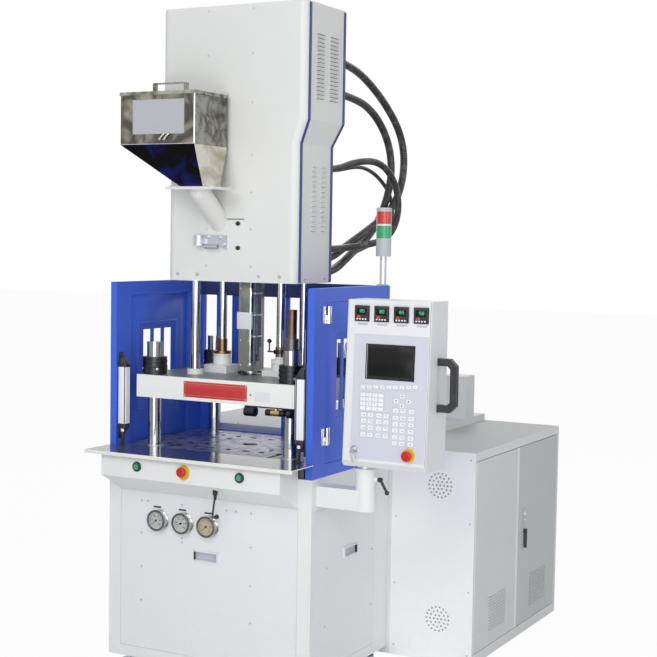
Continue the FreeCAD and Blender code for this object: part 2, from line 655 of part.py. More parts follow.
def moving_platen():
    piece = Piece()
    half, deep = "platen_half", "platen_d / 2"
    low, high = "platen_low", "platen_low + platen_t"
    piece.pad("xy", low, high, rect(f"-{half}", half, f"mid_y - {deep}", f"mid_y + {deep}"))
    piece.pocket("xy", f"{low} - 1", f"{high} + 1", circle("0", "mid_y", "nozzle_bore_r"))
    piece.pocket("xy", f"{low} - 1", f"{low} + locate_depth", circle("0", "mid_y", "locate_r"))
    piece.pocket("xy", f"{low} - 1", f"{high} + 1",
                 *[circle(x, y, "tie_r") for x, y in CORNERS])
    piece.pocket("xy", f"{low} - 1", f"{low} + mould_hole_depth",
                 *[circle(f"{sx}mould_pitch_x / 2", f"mid_y {sy} mould_pitch_y / 2",
                          "mould_hole_r") for sx in ("-", "") for sy in ("-", "+")])
    return piece.done("moving_platen")


def crosshead():
    piece = Piece()
    low, high = "cross_low", "cross_low + cross_t"
    piece.pad("xy", low, high, rect("-cross_half", "cross_half", "mid_y - cross_d / 2",
                                    "mid_y + cross_d / 2"))
    piece.pocket("xy", f"{low} - 1", f"{high} + 1", *[circle(x, y, "tie_r") for x, y in CORNERS])
    piece.pad("xy", high, "ram_top", circle("0", "mid_y", "ram_r"))
    return piece.done("crosshead")


def clamp_cylinder():
    low, top = "cylinder_low", DECK
    outer = rod("z", ("0", "mid_y", low), "cylinder_r", f"{top} - ({low})")
    rim = rod("z", ("0", "mid_y", f"{top} - 26"), "cylinder_r + 32", "26")
    bore = rod("z", ("0", "mid_y", f"{low} - 1"), "ram_r + tie_fit", f"{top} - ({low}) - 8")
    return node(cut(fuse(outer, rim), bore), "clamp_cylinder")


PLATEN_TOP = "(platen_low + platen_t)"


def carriage_rods():
    parts = []
    for x in ("-cyl_rod_x", "cyl_rod_x"):
        parts.append(rod("z", (x, "mid_y", PLATEN_TOP), "cyl_rod_r", f"rod_top - {PLATEN_TOP}"))
    for x, y in (("-guide_x", "mid_y - guide_front"), ("guide_x", "mid_y + guide_rear")):
        parts.append(rod("z", (x, y, PLATEN_TOP), "guide_r", f"rod_top - {PLATEN_TOP}"))
    return node(group(*parts), "carriage_rods")


def rod_flanges():
    """Flanged glands that hold the carriage rods on the platen."""
    parts = []
    for x, drop in (("-cyl_rod_x", "0"), ("cyl_rod_x", "22")):
        side = "flange_side / 2"
        plate = box((f"{x} - {side}", f"{x} + {side}"), (f"mid_y - {side}", f"mid_y + {side}"),
                    (PLATEN_TOP, f"{PLATEN_TOP} + 33 - {drop} / 2"))
        body = rod("z", (x, "mid_y", f"{PLATEN_TOP} + 10"), "flange_r", f"flange_h - {drop} - 6")
        neck = rod("z", (x, "mid_y", f"{PLATEN_TOP} + flange_h - {drop}"), "flange_r - 5", "8")
        disc = rod("z", (x, "mid_y", f"{PLATEN_TOP} + flange_h + 7 - {drop}"), "flange_r", "18")
        bush = rod("z", (x, "mid_y", f"{PLATEN_TOP} + flange_h + 20 - {drop}"), "collar_rod_r",
                   "collar_rod_h")
        hole = rod("z", (x, "mid_y", f"{PLATEN_TOP} - 1"), "cyl_rod_r", "300")
        parts.append(cut(fuse(plate, body, neck, disc, bush), hole))
    for x, y in (("-guide_x", "mid_y - guide_front"), ("guide_x", "mid_y + guide_rear")):
        ring = rod("z", (x, y, PLATEN_TOP), "guide_r + 14", "22")
        hole = rod("z", (x, y, f"{PLATEN_TOP} - 1"), "guide_r", "24")
        parts.append(cut(ring, hole))
    return node(group(*parts), "rod_flanges")


def platen_fittings():
    """Roller, drain valve and star knob under the platen's front edge; ball lever on the flange."""
    y = "mid_y - platen_d / 2 + 9"
    low = "platen_low"
    hanger = box(("150", "364"), (f"{y} - 9", f"{y} + 9"), (f"{low} - 6", low))
    roller = rod("x", ("150", y, f"{low} - 24"), "20", "46")
    valve_body = rod("x", ("246", y, f"{low} - 23"), "13", "84")
    valve_neck = rod("z", ("290", y, f"{low} - 23"), "9", "20")
    spindle = rod("x", ("329", y, f"{low} - 23"), "5", "20")
    knob = rod("x", ("344", y, f"{low} - 23"), "17", "18")
    roller_post = rod("z", ("172", y, f"{low} - 24"), "6", "20")
    under = fuse(hanger, roller, roller_post, valve_body, valve_neck, spindle, knob)
    stalk = box(("cyl_rod_x - 62", "cyl_rod_x - 24"), ("mid_y - 3", "mid_y + 3"),
                (f"{PLATEN_TOP} + 96", f"{PLATEN_TOP} + 102"))
    post = rod("z", ("cyl_rod_x - 54", "mid_y", f"{PLATEN_TOP} + 99"), "3", "36")
    ball = fresh("Part::Sphere", "ball")
    ball.setExpression("Radius", "9.5 mm")
    ball.setExpression("Placement.Base.x", ex("cyl_rod_x - 54"))
    ball.setExpression("Placement.Base.y", ex("mid_y"))
    ball.setExpression("Placement.Base.z", ex(f"{PLATEN_TOP} + 143"))
    hub = rod("z", ("cyl_rod_x", "mid_y", f"{PLATEN_TOP} + 92"), "collar_rod_r + 8", "16")
    hub_hole = rod("z", ("cyl_rod_x", "mid_y", f"{PLATEN_TOP} + 80"), "collar_rod_r", "40")
    lever = cut(fuse(stalk, post, ball, hub), hub_hole)
    return node(group(under, lever), "platen_fittings")


# ------------------------------------------------------------------ injection carriage
def draw_round_rect(sketch, left, right, low, high, radius):
    """A rectangle with tangent corner arcs."""
    first = sketch.GeometryCount
    for start, end in (((-3, -4), (3, -4)), ((4, -3), (4, 3)), ((3, 4), (-3, 4)),
                       ((-4, 3), (-4, -3))):
        sketch.addGeometry(Part.LineSegment(V(*start, 0), V(*end, 0)), False)
    for centre, turn in (((3, -3), 270), ((3, 3), 0), ((-3, 3), 90), ((-3, -3), 180)):
        ring = Part.Circle(V(*centre, 0), V(0, 0, 1), 1.0)
        arc = Part.ArcOfCircle(ring, math.radians(turn), math.radians(turn + 90))
        sketch.addGeometry(arc, False)
    for i in range(4):
        line, arc, follow = first + i, first + 4 + i, first + (i + 1) % 4
        sketch.addConstraint(Sketcher.Constraint("Tangent", line, 2, arc, 1))
        sketch.addConstraint(Sketcher.Constraint("Tangent", arc, 2, follow, 1))
    for i, kind in enumerate(("Horizontal", "Vertical", "Horizontal", "Vertical")):
        sketch.addConstraint(Sketcher.Constraint(kind, first + i))
    for i in range(3):
        sketch.addConstraint(Sketcher.Constraint("Equal", first + 4, first + 5 + i))
    made = sketch.addConstraint(Sketcher.Constraint("Radius", first + 4, 1.0))
    sketch.setExpression(f"Constraints[{made}]", ex(radius))
    pin_to(sketch, "DistanceY", first, 1, low)
    pin_to(sketch, "DistanceX", first + 1, 1, right)
    pin_to(sketch, "DistanceY", first + 2, 1, high)
    pin_to(sketch, "DistanceX", first + 3, 1, left)


def plan_sketch(piece, height, left, right, low, high, radius):
    made = piece.body.newObject("Sketcher::SketchObject", "")
    made.AttachmentSupport = (origin_feature(piece.body, "XY_Plane"), [""])
    made.MapMode = "FlatFace"
    made.setExpression("AttachmentOffset.Base.z", ex(height))
    draw_round_rect(made, left, right, low, high, radius)
    made.Visibility = False
    return made


def stepped(piece, inset, low, high, remove):
    """The tower's stepped outline between two heights, added or taken away."""
    lower = (f"-cover_half_low + {inset}", f"cover_half_low - {inset}",
             f"cover_front + {inset}", f"cover_rear_low - {inset}", f"cover_round - {inset}")
    upper = (f"-cover_half_top + {inset}", f"cover_half_top - {inset}",
             f"cover_front + {inset}", f"cover_rear_top - {inset}", f"cover_round - {inset}")
    kind = "PartDesign::Subtractive" if remove else "PartDesign::Additive"
    for bottom, top, foot, head in (
        (low, "cover_step_low", lower, lower),
        ("cover_step_low", "cover_step_top", lower, upper),
        ("cover_step_top", high, upper, upper),
    ):
        start = plan_sketch(piece, bottom, *foot)
        end = plan_sketch(piece, top, *head)
        loft = piece.body.newObject(kind + "Loft", "")
        loft.Profile = start
        loft.Sections = [end]
        loft.Ruled = True


def louvres(piece, half, ranges, low, pitch, count):
    """Rows of pressed hoods on both side sheets, open below."""
    made = []
    wall = "cover_wall"
    for front, rear in ranges:
        hoods, slots = [], []
        for sign in ("", "-"):
            def at(out, up):
                return (f"{sign}({half} + {out})", f"{low} + {up}")
            hoods.append(polygon(at("-1", "0"), at("louvre_rise", "0"), at("louvre_rise", "1.5"),
                                 at("-1", "louvre_h")))
            slots.append(polygon(at(f"-{wall} - 1", "-1"), at("louvre_rise - 1.4", "-1"),
                                 at("louvre_rise - 1.4", "1"), at(f"-{wall} - 1", "louvre_h")))
        made.append(piece.pad("xz", front, rear, *hoods))
        made.append(piece.pocket("xz", f"{front} + 1.5", f"{rear} - 1.5", *slots))
    return piece.repeat(made, "z", pitch, count)


def tower_cover():
    piece = Piece()
    stepped(piece, "0", "cover_low", "cover_top", False)
    stepped(piece, "cover_wall", "cover_low - 1", "cover_top - cover_wall", True)
    louvres(piece, "cover_half_top", (("cover_front + 86", "cover_front + 154"),
                                      ("cover_front + 198", "cover_front + 275")),
            "upper_louvre_low", "louvre_pitch", "upper_louvre_count")
    louvres(piece, "cover_half_low", (("cover_front + 124", "cover_front + 162"),
                                      ("cover_front + 203", "cover_front + 243")),
            "lower_louvre_low", "lower_pitch", "lower_louvre_count")
    # the feed chute goes in through the front
    piece.pocket("xz", "cover_front - 1", "cover_front + cover_wall + 1",
                 circle("throat_x", "chute_end", "chute_r - chute_wall - 4"))
    return piece.done("tower_cover")


def trim_strips():
    """Raised blue strips that follow the sides."""
    low, knee = "cover_low + 4", "cover_step_low"
    shoulder, high = "cover_step_top", "cover_top - 6"
    for front_low, front_top in (("trim_front - trim_w / 2", "trim_front - trim_w / 2"),
                                 ("trim_rear_low - trim_w / 2", "trim_rear_top - trim_w / 2")):
        outline = []
        for sign in ("", "-"):
            def at(half, out, up):
                return (f"{sign}({half} + {out})", up)
            outline.append(polygon(
                at("cover_half_low", "0", low), at("cover_half_low", "trim_t", low),
                at("cover_half_low", "trim_t", knee), at("cover_half_top", "trim_t", shoulder),
                at("cover_half_top", "trim_t", high), at("cover_half_top", "0", high),
                at("cover_half_top", "0", shoulder), at("cover_half_low", "0", knee)))
        piece_low = Piece()
        piece_low.pad("xz", front_low, f"{front_top} + trim_w", *outline)
        # the rear strip steps back with the cover
        rear = front_low != front_top
        if rear:
            piece_low.pocket("yz", "-cover_half_top - 20", "cover_half_top + 20",
                             polygon((f"{front_low} - 1", shoulder), (f"{front_low} - 1", f"{high} + 1"),
                                     (front_top, f"{high} + 1"), (front_top, shoulder),
                                     (front_low, f"{knee}"), (f"{front_low} - 1", knee)))
            piece_low.pocket("yz", "-cover_half_top - 20", "cover_half_top + 20",
                             polygon((f"{front_low} + trim_w", f"{low} - 1"),
                                     (f"{front_top} + trim_w + 1", f"{low} - 1"),
                                     (f"{front_top} + trim_w + 1", shoulder),
                                     (f"{front_top} + trim_w", shoulder),
                                     (f"{front_low} + trim_w", knee)))
        yield piece_low.body


def carriage_plate():
    piece = Piece()
    low, high = "cover_low + 2", "cover_low + 2 + carriage_t"
    wall = "cover_wall"
    sketch = plan_sketch(piece, low, f"-cover_half_low + {wall}", f"cover_half_low - {wall}",
                         f"cover_front + {wall}", f"cover_rear_low - {wall}",
                         f"cover_round - {wall}")
    made = piece.body.newObject("PartDesign::Pad", "")
    made.Profile = sketch
    made.setExpression("Length", ex("carriage_t"))
    piece.pocket("xy", f"{low} - 1", f"{high} + 1",
                 circle("0", "mid_y", "barrel_r"),
                 circle("-cyl_rod_x", "mid_y", "cyl_rod_r + rod_fit"),
                 circle("cyl_rod_x", "mid_y", "cyl_rod_r + rod_fit"),
                 circle("-guide_x", "mid_y - guide_front", "guide_r + rod_fit"),
                 circle("guide_x", "mid_y + guide_rear", "guide_r + rod_fit"))
    return piece.done("carriage_plate")


def barrel():
    outer = rod("z", ("0", "mid_y", "barrel_low"), "barrel_r", "barrel_top - barrel_low")
    nozzle = rod("z", ("0", "mid_y", "nozzle_low"), "nozzle_r", "barrel_low - nozzle_low + 1")
    bore = rod("z", ("0", "mid_y", "feed_screw_low - 6"), "barrel_bore_r", "barrel_top - feed_screw_low + 10")
    runner = rod("z", ("0", "mid_y", "nozzle_low - 1"), "2.5", "feed_screw_low - nozzle_low + 4")
    feed = rod("y", ("0", "mid_y - 60", "feed_at"), "14", "60")
    return node(cut(fuse(outer, nozzle), bore, runner, feed), "barrel")


def injection_screw():
    core = rod("z", ("0", "mid_y", "feed_screw_low + 20"), "feed_screw_r - 5",
               "feed_screw_top - feed_screw_low - 20")
    tip = cone("z", ("0", "mid_y", "feed_screw_low"), "3", "feed_screw_r - 5", "21")
    shank = rod("z", ("0", "mid_y", "barrel_top - 150"), "feed_screw_r", "feed_screw_top - barrel_top + 150")
    parts = [core, tip, shank]
    for i in range(9):
        parts.append(rod("z", ("0", "mid_y", f"feed_screw_low + 40 + {i} * 60"), "feed_screw_r", "9"))
    return node(fuse(*parts), "injection_screw")


def barrel_shroud():
    """Sheet cover round the heater bands, hung from the carriage plate."""
    x, y = "shroud_w / 2", "shroud_d / 2"
    outer = box((f"-{x}", x), (f"mid_y - {y}", f"mid_y + {y}"), ("shroud_low", "cover_low + 2"))
    wall = "shroud_wall"
    inner = box((f"-{x} + {wall}", f"{x} - {wall}"),
                (f"mid_y - {y} + {wall}", f"mid_y + {y} - {wall}"),
                ("shroud_low - 1", "cover_low + 3"))
    slot = box((f"-{x} + 16", f"{x} - 16"), (f"mid_y - {y} - 1", f"mid_y - {y} + {wall} + 1"),
               ("cover_low - 150", "cover_low - 16"))
    return node(cut(outer, inner, slot), "barrel_shroud")


def screw_drive():
    """Bearing block and hydraulic motor on the barrel's upper end, which turn the screw."""
    side = "drive_side / 2"
    block = box((f"-{side}", side), (f"mid_y - {side}", f"mid_y + {side}"),
                ("barrel_top", "barrel_top + drive_t"))
    case = rod("z", ("0", "mid_y", "barrel_top + drive_t - 1"), "motor_case_r", "drive_h")
    port = box(("motor_case_r - 12", "motor_case_r + 22"), ("mid_y - 24", "mid_y + 24"),
               ("barrel_top + drive_t + 60", "barrel_top + drive_t + 110"))
    well = rod("z", ("0", "mid_y", "barrel_top - 1"), "barrel_bore_r",
               "feed_screw_top - barrel_top + 8")
    return node(cut(fuse(block, case, port), well), "screw_drive")


# ------------------------------------------------------------------ hopper
HOP_L = "(hopper_x - hopper_w / 2)"
HOP_R = "(hopper_x + hopper_w / 2)"
HOP_F = "(-hopper_front)"
HOP_B = "(-hopper_front + hopper_d)"


def hopper_body():
    piece = Piece()
    wall = "hopper_wall"

    def funnel(inset, low, high, remove):
        kind = "PartDesign::Subtractive" if remove else "PartDesign::Additive"
        wide = (f"{HOP_L} + {inset}", f"{HOP_R} - {inset}", f"{HOP_F} + {inset}",
                f"{HOP_B} - {inset}", "3.5 - " + inset)
        throat = (f"throat_x - throat_half + {inset}", f"throat_x + throat_half - {inset}",
                  f"throat_y - throat_half + {inset}", f"throat_y + throat_half - {inset}",
                  "3.5 - " + inset)
        for bottom, top, foot, head in ((low, "hopper_shoulder", throat, wide),
                                        ("hopper_shoulder", high, wide, wide)):
            start = plan_sketch(piece, bottom, *foot)
            end = plan_sketch(piece, top, *head)
            loft = piece.body.newObject(kind + "Loft", "")
            loft.Profile = start
            loft.Sections = [end]
            loft.Ruled = True

    funnel("0", "hopper_low", "hopper_top", False)
    funnel(wall, "hopper_low", "hopper_top + 1", True)
    piece.pocket("xy", "hopper_low - 1", "hopper_low + 6",
                 rect(f"throat_x - throat_half + {wall}", f"throat_x + throat_half - {wall}",
                      f"throat_y - throat_half + {wall}", f"throat_y + throat_half - {wall}"))
    shell = piece.body
    # slide gate flange under the throat, and hinge ears at the back
    gate = box(("throat_x - gate_half", "throat_x + gate_half"),
               ("throat_y - throat_half - 22", "throat_y + throat_half + 22"),
               ("hopper_low - gate_t", "hopper_low"))
    throat = rod("z", ("throat_x", "throat_y", "hopper_low - gate_t - 1"),
                 "chute_r - chute_wall", "gate_t + 2")
    ears = []
    for low, high in ((f"{HOP_L} + 40", f"{HOP_L} + 70"), (f"{HOP_R} - 70", f"{HOP_R} - 40")):
        ear = box((low, high), (f"{HOP_B} - 1", "lid_axis_y"), ("lid_axis_z - 5", "lid_axis_z + 3"))
        knuckle = rod("x", (low, "lid_axis_y", "lid_axis_z"), "5", f"({high}) - ({low})")
        ears.append(fuse(ear, knuckle))
    pins = [rod("x", (f"{HOP_L} + 69", "lid_axis_y", "lid_axis_z"), "2.5", "26"),
            rod("x", (f"{HOP_R} - 95", "lid_axis_y", "lid_axis_z"), "2.5", "26")]
    return node(fuse(shell, cut(gate, throat), *ears, *pins), "hopper_body")


def hopper_lid():
    low = "hopper_top + 0.5"
    top = "hopper_top + 0.5 + lid_t"
    lap = "(lid_fit + lid_t)"
    plate = box((f"{HOP_L} - {lap}", f"{HOP_R} + {lap}"), (f"{HOP_F} - {lap}", HOP_B), (low, top))
    rims = [
        box((f"{HOP_L} - {lap}", f"{HOP_R} + {lap}"),
            (f"{HOP_F} - {lap}", f"{HOP_F} - lid_fit"), (f"{top} - lid_h", low)),
        box((f"{HOP_L} - {lap}", f"{HOP_L} - lid_fit"), (f"{HOP_F} - {lap}", f"{HOP_B} - 6"),
            (f"{top} - lid_h", low)),
        box((f"{HOP_R} + lid_fit", f"{HOP_R} + {lap}"), (f"{HOP_F} - {lap}", f"{HOP_B} - 6"),
            (f"{top} - lid_h", low)),
    ]
    # strap handle folded from flat bar
    y = f"({HOP_F} + hopper_d / 2 - 10)"
    broad = (f"{y} - lid_strap_w / 2", f"{y} + lid_strap_w / 2")
    near, far = "lid_handle_x - lid_handle_w / 2", "lid_handle_x + lid_handle_w / 2"
    crown = f"{top} + lid_handle_h"
    handle = [
        box((near, far), broad, (f"{crown} - lid_strap_t", crown)),
        box((near, f"{near} + lid_strap_t"), broad, (f"{low} + 1", crown)),
        box((f"{far} - lid_strap_t", far), broad, (f"{low} + 1", crown)),
    ]
    knuckles = []
    for start in (f"{HOP_L} + 70.5", f"{HOP_R} - 94.5"):
        leaf = box((start, f"{start} + 24"), (f"{HOP_B} + 0.6", "lid_axis_y"),
                   ("lid_axis_z", top))
        strap = box((start, f"{start} + 24"), (f"{HOP_B} - 2", "lid_axis_y"), (low, top))
        barrel_ = rod("x", (start, "lid_axis_y", "lid_axis_z"), "5", "24")
        bore = rod("x", (f"{start} - 1", "lid_axis_y", "lid_axis_z"), "2.5 + pin_fit", "26")
        knuckles.append(cut(fuse(leaf, strap, barrel_), bore))
    return node(fuse(plate, *rims, *handle, *knuckles), "hopper_lid")


# ------------------------------------------------------------------ soft runs
TOWER_REAR = ("cover_rear_low", "cover_low")
BASE_TOP = ("base_front", "base_h")


def tube(points, datum, radius_alias, label):
    """A round run through control points: straights joined by tangent arcs."""
    spots = [V(x, y + size(datum[0]), z + size(datum[1])) for x, y, z in points]
    edges = []
    here = spots[0]
    for i in range(1, len(spots) - 1):
        back, out = spots[i] - spots[i - 1], spots[i + 1] - spots[i]
        half = back.getAngle(out) / 2
        reach = 0.45 * min(back.Length, out.Length)
        bend = reach / math.tan(half)
        start = spots[i] - back.normalize() * reach
        finish = spots[i] + out.normalize() * reach
        inward = (finish + start) / 2 - spots[i]
        centre = spots[i] + inward.normalize() * math.hypot(bend, reach)
        middle = centre + (spots[i] - centre).normalize() * bend
        edges.append(Part.LineSegment(here, start).toShape())
        edges.append(Part.Arc(start, middle, finish).toShape())
        here = finish
        print(label, "bend radius", round(bend, 1), "of", 10 * size(radius_alias))
    edges.append(Part.LineSegment(here, spots[-1]).toShape())
    path = Part.Wire(edges)
    ring = Part.makeCircle(size(radius_alias), spots[0], spots[1] - spots[0])
    shape = path.makePipeShell([Part.Wire([ring])], True, False)
    made = doc.addObject("Part::Feature", label)
    made.Shape = shape
    made.Placement = FreeCAD.Placement()
    print(label, "length", round(path.Length), "volume", round(shape.Volume))
    return node(made, label)


# hoses: across, out from the tower's lower rear face and up from its lower edge
HOSE_UPPER = [
    (225, 52, 946), (225, 278, 946), (248, 528, 835), (280, 703, 670), (298, 703, 490),
    (300, 588, 325), (275, 398, 230), (240, 218, 145), (228, 108, 96), (228, 20, 96),
]
HOSE_MIDDLE = [
    (230, 52, 805), (230, 258, 805), (240, 463, 765), (262, 593, 642), (275, 618, 490),
    (255, 590, 335), (238, 480, 202), (240, 278, 115), (230, 138, 38), (230, 20, 38),
]
HOSE_LOWER = [
    (252, 20, 478), (252, 118, 478), (275, 258, 520), (303, 416, 529), (332, 508, 463),
    (348, 543, 355), (350, 508, 247), (338, 423, 180), (305, 278, 155), (256, 128, 140),
    (256, 20, 140),
]
HOSE_BRANCH = [
    (215, 20, 472), (215, 158, 472), (218, 378, 508), (222, 508, 492), (228, 623, 442),
    (230, 703, 380), (232, 723, 275), (226, 648, 195), (212, 518, 155), (198, 338, 110),
    (190, 138, 30), (190, 20, 30),
]
# the button cable: across, out from the base's front face and up from its top
BUTTON_CABLE = [
    (105, -100, -76), (103, -103, -106), (94, -98, -148), (75, -72, -178), (57, -40, -185),
    (57, -9, -185),
]


def hose_fittings():
    parts = []
    for points, radius in ((HOSE_UPPER, "hose_r"), (HOSE_MIDDLE, "hose_r"),
                           (HOSE_LOWER, "small_hose_r"), (HOSE_BRANCH, "branch_r")):
        for spot in (points[0], points[-1]):
            x, y, z = spot
            parts.append(rod("y", (str(x), f"cover_rear_low + {y} - 20", f"cover_low + {z}"),
                             f"{radius} + 4", "20"))
    return node(group(*parts), "hose_fittings")


def feed_chute():
    """Slanting pipe from the slide gate into the front of the tower."""
    top = size("hopper_low") - size("gate_t")
    start = V(size("throat_x"), size("throat_y"), top - size("chute_neck"))
    end = V(size("throat_x"), size("cover_front"), size("chute_end"))
    way = end - start

    def run(radius, label, beyond):
        made = doc.addObject("Part::Feature", label)
        pipe = Part.makeCylinder(radius, way.Length + beyond, start, way)
        made.Shape = pipe.fuse(Part.makeSphere(radius, start))
        made.Placement = FreeCAD.Placement()
        return made

    outside = run(size("chute_r"), "chute_outside", 80)
    inside = run(size("chute_r") - size("chute_wall"), "chute_inside", 100)
    behind = box(("throat_x - 200", "throat_x + 200"), ("cover_front", "cover_front + 300"),
                 ("cover_low", "cover_low + 800"))
    above = box(("throat_x - 200", "throat_x + 200"), ("throat_y - 200", "throat_y + 200"),
                ("hopper_low - gate_t", "hopper_low + 200"))
    return node(cut(outside, inside, behind, above), "feed_chute")


def chute_clamp():
    """Bright toggle clamp under the chute's end, on the tower's front."""
    wall, low = "cover_front", "cover_low"
    plate = box(("-116", "-18"), (f"{wall} - 6", wall), (f"{low} + 148", f"{low} + 190"))
    saddle = rod("z", ("-140", f"{wall} - 21", f"{low} + 146"), "21", "42")
    web = box(("-140", "-112"), (f"{wall} - 14", wall), (f"{low} + 152", f"{low} + 184"))
    roll = rod("x", ("-112", f"{wall} - 18", f"{low} + 142"), "9", "62")
    stay = box(("-100", "-70"), (f"{wall} - 20", wall), (f"{low} + 136", f"{low} + 152"))
    tail = box(("-40", "-14"), (f"{wall} - 12", wall), (f"{low} + 136", f"{low} + 186"))
    parts = [plate, saddle, web, roll, stay, tail]
    for x, up in (("-105", "182"), ("-45", "180"), ("-24", "151")):
        parts.append(rod("y", (x, f"{wall} - 22", f"{low} + {up}"), "6.5", "18"))
    return node(fuse(*parts), "chute_clamp")


# ------------------------------------------------------------------ guards
def side_guard(side):
    """A frame with a door opening; side is '' for the right and '-' for the left."""
    piece = Piece()
    outer = "base_w / 2"
    inner = "(base_w / 2 - guard_t)"
    low, high = (inner, outer) if not side else (f"-({outer})", f"-{inner}")
    piece.pad("yz", low, high, rect("0", "guard_rear_y", "guard_low", "guard_top"))
    piece.pocket("yz", f"{low} - 1", f"{high} + 1",
                 rect("door_front", "door_rear", "door_low", "door_top"))
    parts = [piece.body]
    axis_x = f"{side}(base_w / 2 + hinge_out)"
    for z in ("hinge_low", "hinge_top"):
        if side:
            leaf_x = (f"{axis_x}", "-base_w / 2")
        else:
            leaf_x = ("base_w / 2", f"{axis_x}")
        leaf = box(leaf_x, ("door_front - 12", "door_front - 1"), (z, f"{z} + hinge_h"))
        knuckle = rod("z", (axis_x, "door_front", z), "hinge_r", "hinge_h")
        pin = rod("z", (axis_x, "door_front", f"{z} + hinge_h - 1"), "hinge_pin_r",
                  "hinge_h - 2")
        parts.append(fuse(leaf, knuckle, pin))
    return node(fuse(*parts), "guard_right" if not side else "guard_left")


def guard_door(side):
    piece = Piece()
    outer = "base_w / 2"
    inner = "(base_w / 2 - door_t)"
    low, high = (inner, outer) if not side else (f"-({outer})", f"-{inner}")
    front, rear = "door_front + door_gap", "door_rear - door_gap"
    piece.pad("yz", low, high, rect(front, rear, "door_low + door_gap", "door_top - door_gap"))
    # a raised frame round the window slots, on the inner side
    if side:
        frame = (high, f"{high} + frame_t")
    else:
        frame = (f"{low} - frame_t", low)
    piece.pad("yz", frame[0], frame[1], rect("frame_front", "frame_rear", "frame_low", "frame_top"))
    piece.pocket("yz", f"{frame[0]} - 1", f"{frame[1]}",
                 rect("frame_front + 14", "frame_rear - 14", "frame_low + 14", "frame_top - 14"))
    slots = [rect(f"slot_first + {i} * slot_pitch", f"slot_first + {i} * slot_pitch + slot_wide",
                  "slot_low", "slot_top") for i in range(3)]
    piece.pocket("yz", f"{low} - 5", f"{high} + 5", *slots)
    parts = [piece.body]
    bores = []
    axis_x = f"{side}(base_w / 2 + hinge_out)"
    for z in ("hinge_low", "hinge_top"):
        start = f"{z} + hinge_h + hinge_gap"
        leaf_x = (axis_x, "-base_w / 2") if side else ("base_w / 2", axis_x)
        leaf = box(leaf_x, ("door_front + door_gap + 0.5", "door_front + 14"),
                   (start, f"{start} + hinge_h"))
        parts.append(leaf)
        parts.append(rod("z", (axis_x, "door_front", start), "hinge_r", "hinge_h"))
        bores.append(rod("z", (axis_x, "door_front", f"{start} - 1"), "hinge_pin_r + pin_fit",
                         "hinge_h + 2"))
    return node(cut(fuse(*parts), *bores), "guard_door_right" if not side else "guard_door_left")


def guard_rear():
    piece = Piece()
    half = "base_w / 2"
    piece.pad("xz", "guard_rear_y", "guard_rear_y + rear_t",
              rect(f"-{half}", half, "guard_low", "guard_top"))
    top = "rear_rail_low"
    step = "table_h + 251"
    windows = [rect(f"40 - {half}", f"111 - {half}", step, top),
               rect(f"131 - {half}", f"193 - {half}", step, top),
               rect("-190", "-27", "table_h + 14", top), rect("-3", "58", "table_h + 14", top),
               rect("82", f"{half} - 53", "table_h + 14", top)]
    piece.pocket("xz", "guard_rear_y - 1", "guard_rear_y + rear_t + 1", *windows)
    return piece.done("guard_rear")


def light_curtains():
    parts = []
    for side, low, high in (("-", "left_bar_low", "left_bar_top"),
                            ("", "right_bar_low", "right_bar_top")):
        wall = "(base_w / 2 - guard_t)"
        if side:
            bar_x = (f"-({wall} - curtain_gap)", f"-({wall} - curtain_gap - curtain_w)")
            end_x = (f"-{wall}", f"-({wall} - curtain_gap - curtain_w - 2)")
        else:
            bar_x = (f"{wall} - curtain_gap - curtain_w", f"{wall} - curtain_gap")
            end_x = (f"{wall} - curtain_gap - curtain_w - 2", wall)
        bar = box(bar_x, ("curtain_y", "curtain_y + curtain_d"), (low, high))
        ends = [box(end_x, ("curtain_y - 2", "curtain_y + curtain_d + 2"),
                    (f"{low} - bracket_h", low)),
                box(end_x, ("curtain_y - 2", "curtain_y + curtain_d + 2"),
                    (high, f"{high} + bracket_h"))]
        parts.append(fuse(bar, *ends))
    return node(group(*parts), "light_curtains")


def stack_light():
    foot = box(("light_x - 22", "light_x + 19"), ("light_y - 14", "light_y + 14"),
               ("guard_top", "guard_top + 5"))
    poles = [rod("z", (f"light_x {s} pole_gap / 2", "light_y", "guard_top + 2"), "pole_r",
                 "lamp_low - guard_top") for s in ("-", "+")]
    base = rod("z", ("light_x", "light_y", "lamp_low"), "lamp_r", "lamp_base")
    core = rod("z", ("light_x", "light_y", "lamp_low + lamp_base - 1"), "lamp_core_r",
               "2 * lens_h + lens_gap + 2")
    first = "lamp_low + lamp_base"
    ring = rod("z", ("light_x", "light_y", f"{first} + lens_h"), "lamp_r", "lens_gap")
    cap = rod("z", ("light_x", "light_y", f"{first} + 2 * lens_h + lens_gap"), "lamp_r",
              "lamp_cap")
    node(fuse(foot, *poles, base, core, ring, cap), "stack_pole")
    lenses = []
    for z in (first, f"{first} + lens_h + lens_gap"):
        lens = rod("z", ("light_x", "light_y", z), "lamp_r", "lens_h")
        hole = rod("z", ("light_x", "light_y", f"{z} - 1"), "lamp_core_r", "lens_h + 2")
        lenses.append(cut(lens, hole))
    return node(group(*lenses), "stack_lenses")


# ------------------------------------------------------------------ control panel
def front_at(z):
    """The leaning front face's Y at a height."""
    return (f"(panel_y_low + (({z}) - panel_low_z - panel_chin) * (panel_y_top - panel_y_low)"
            " / (panel_top_z - panel_low_z - panel_chin))")


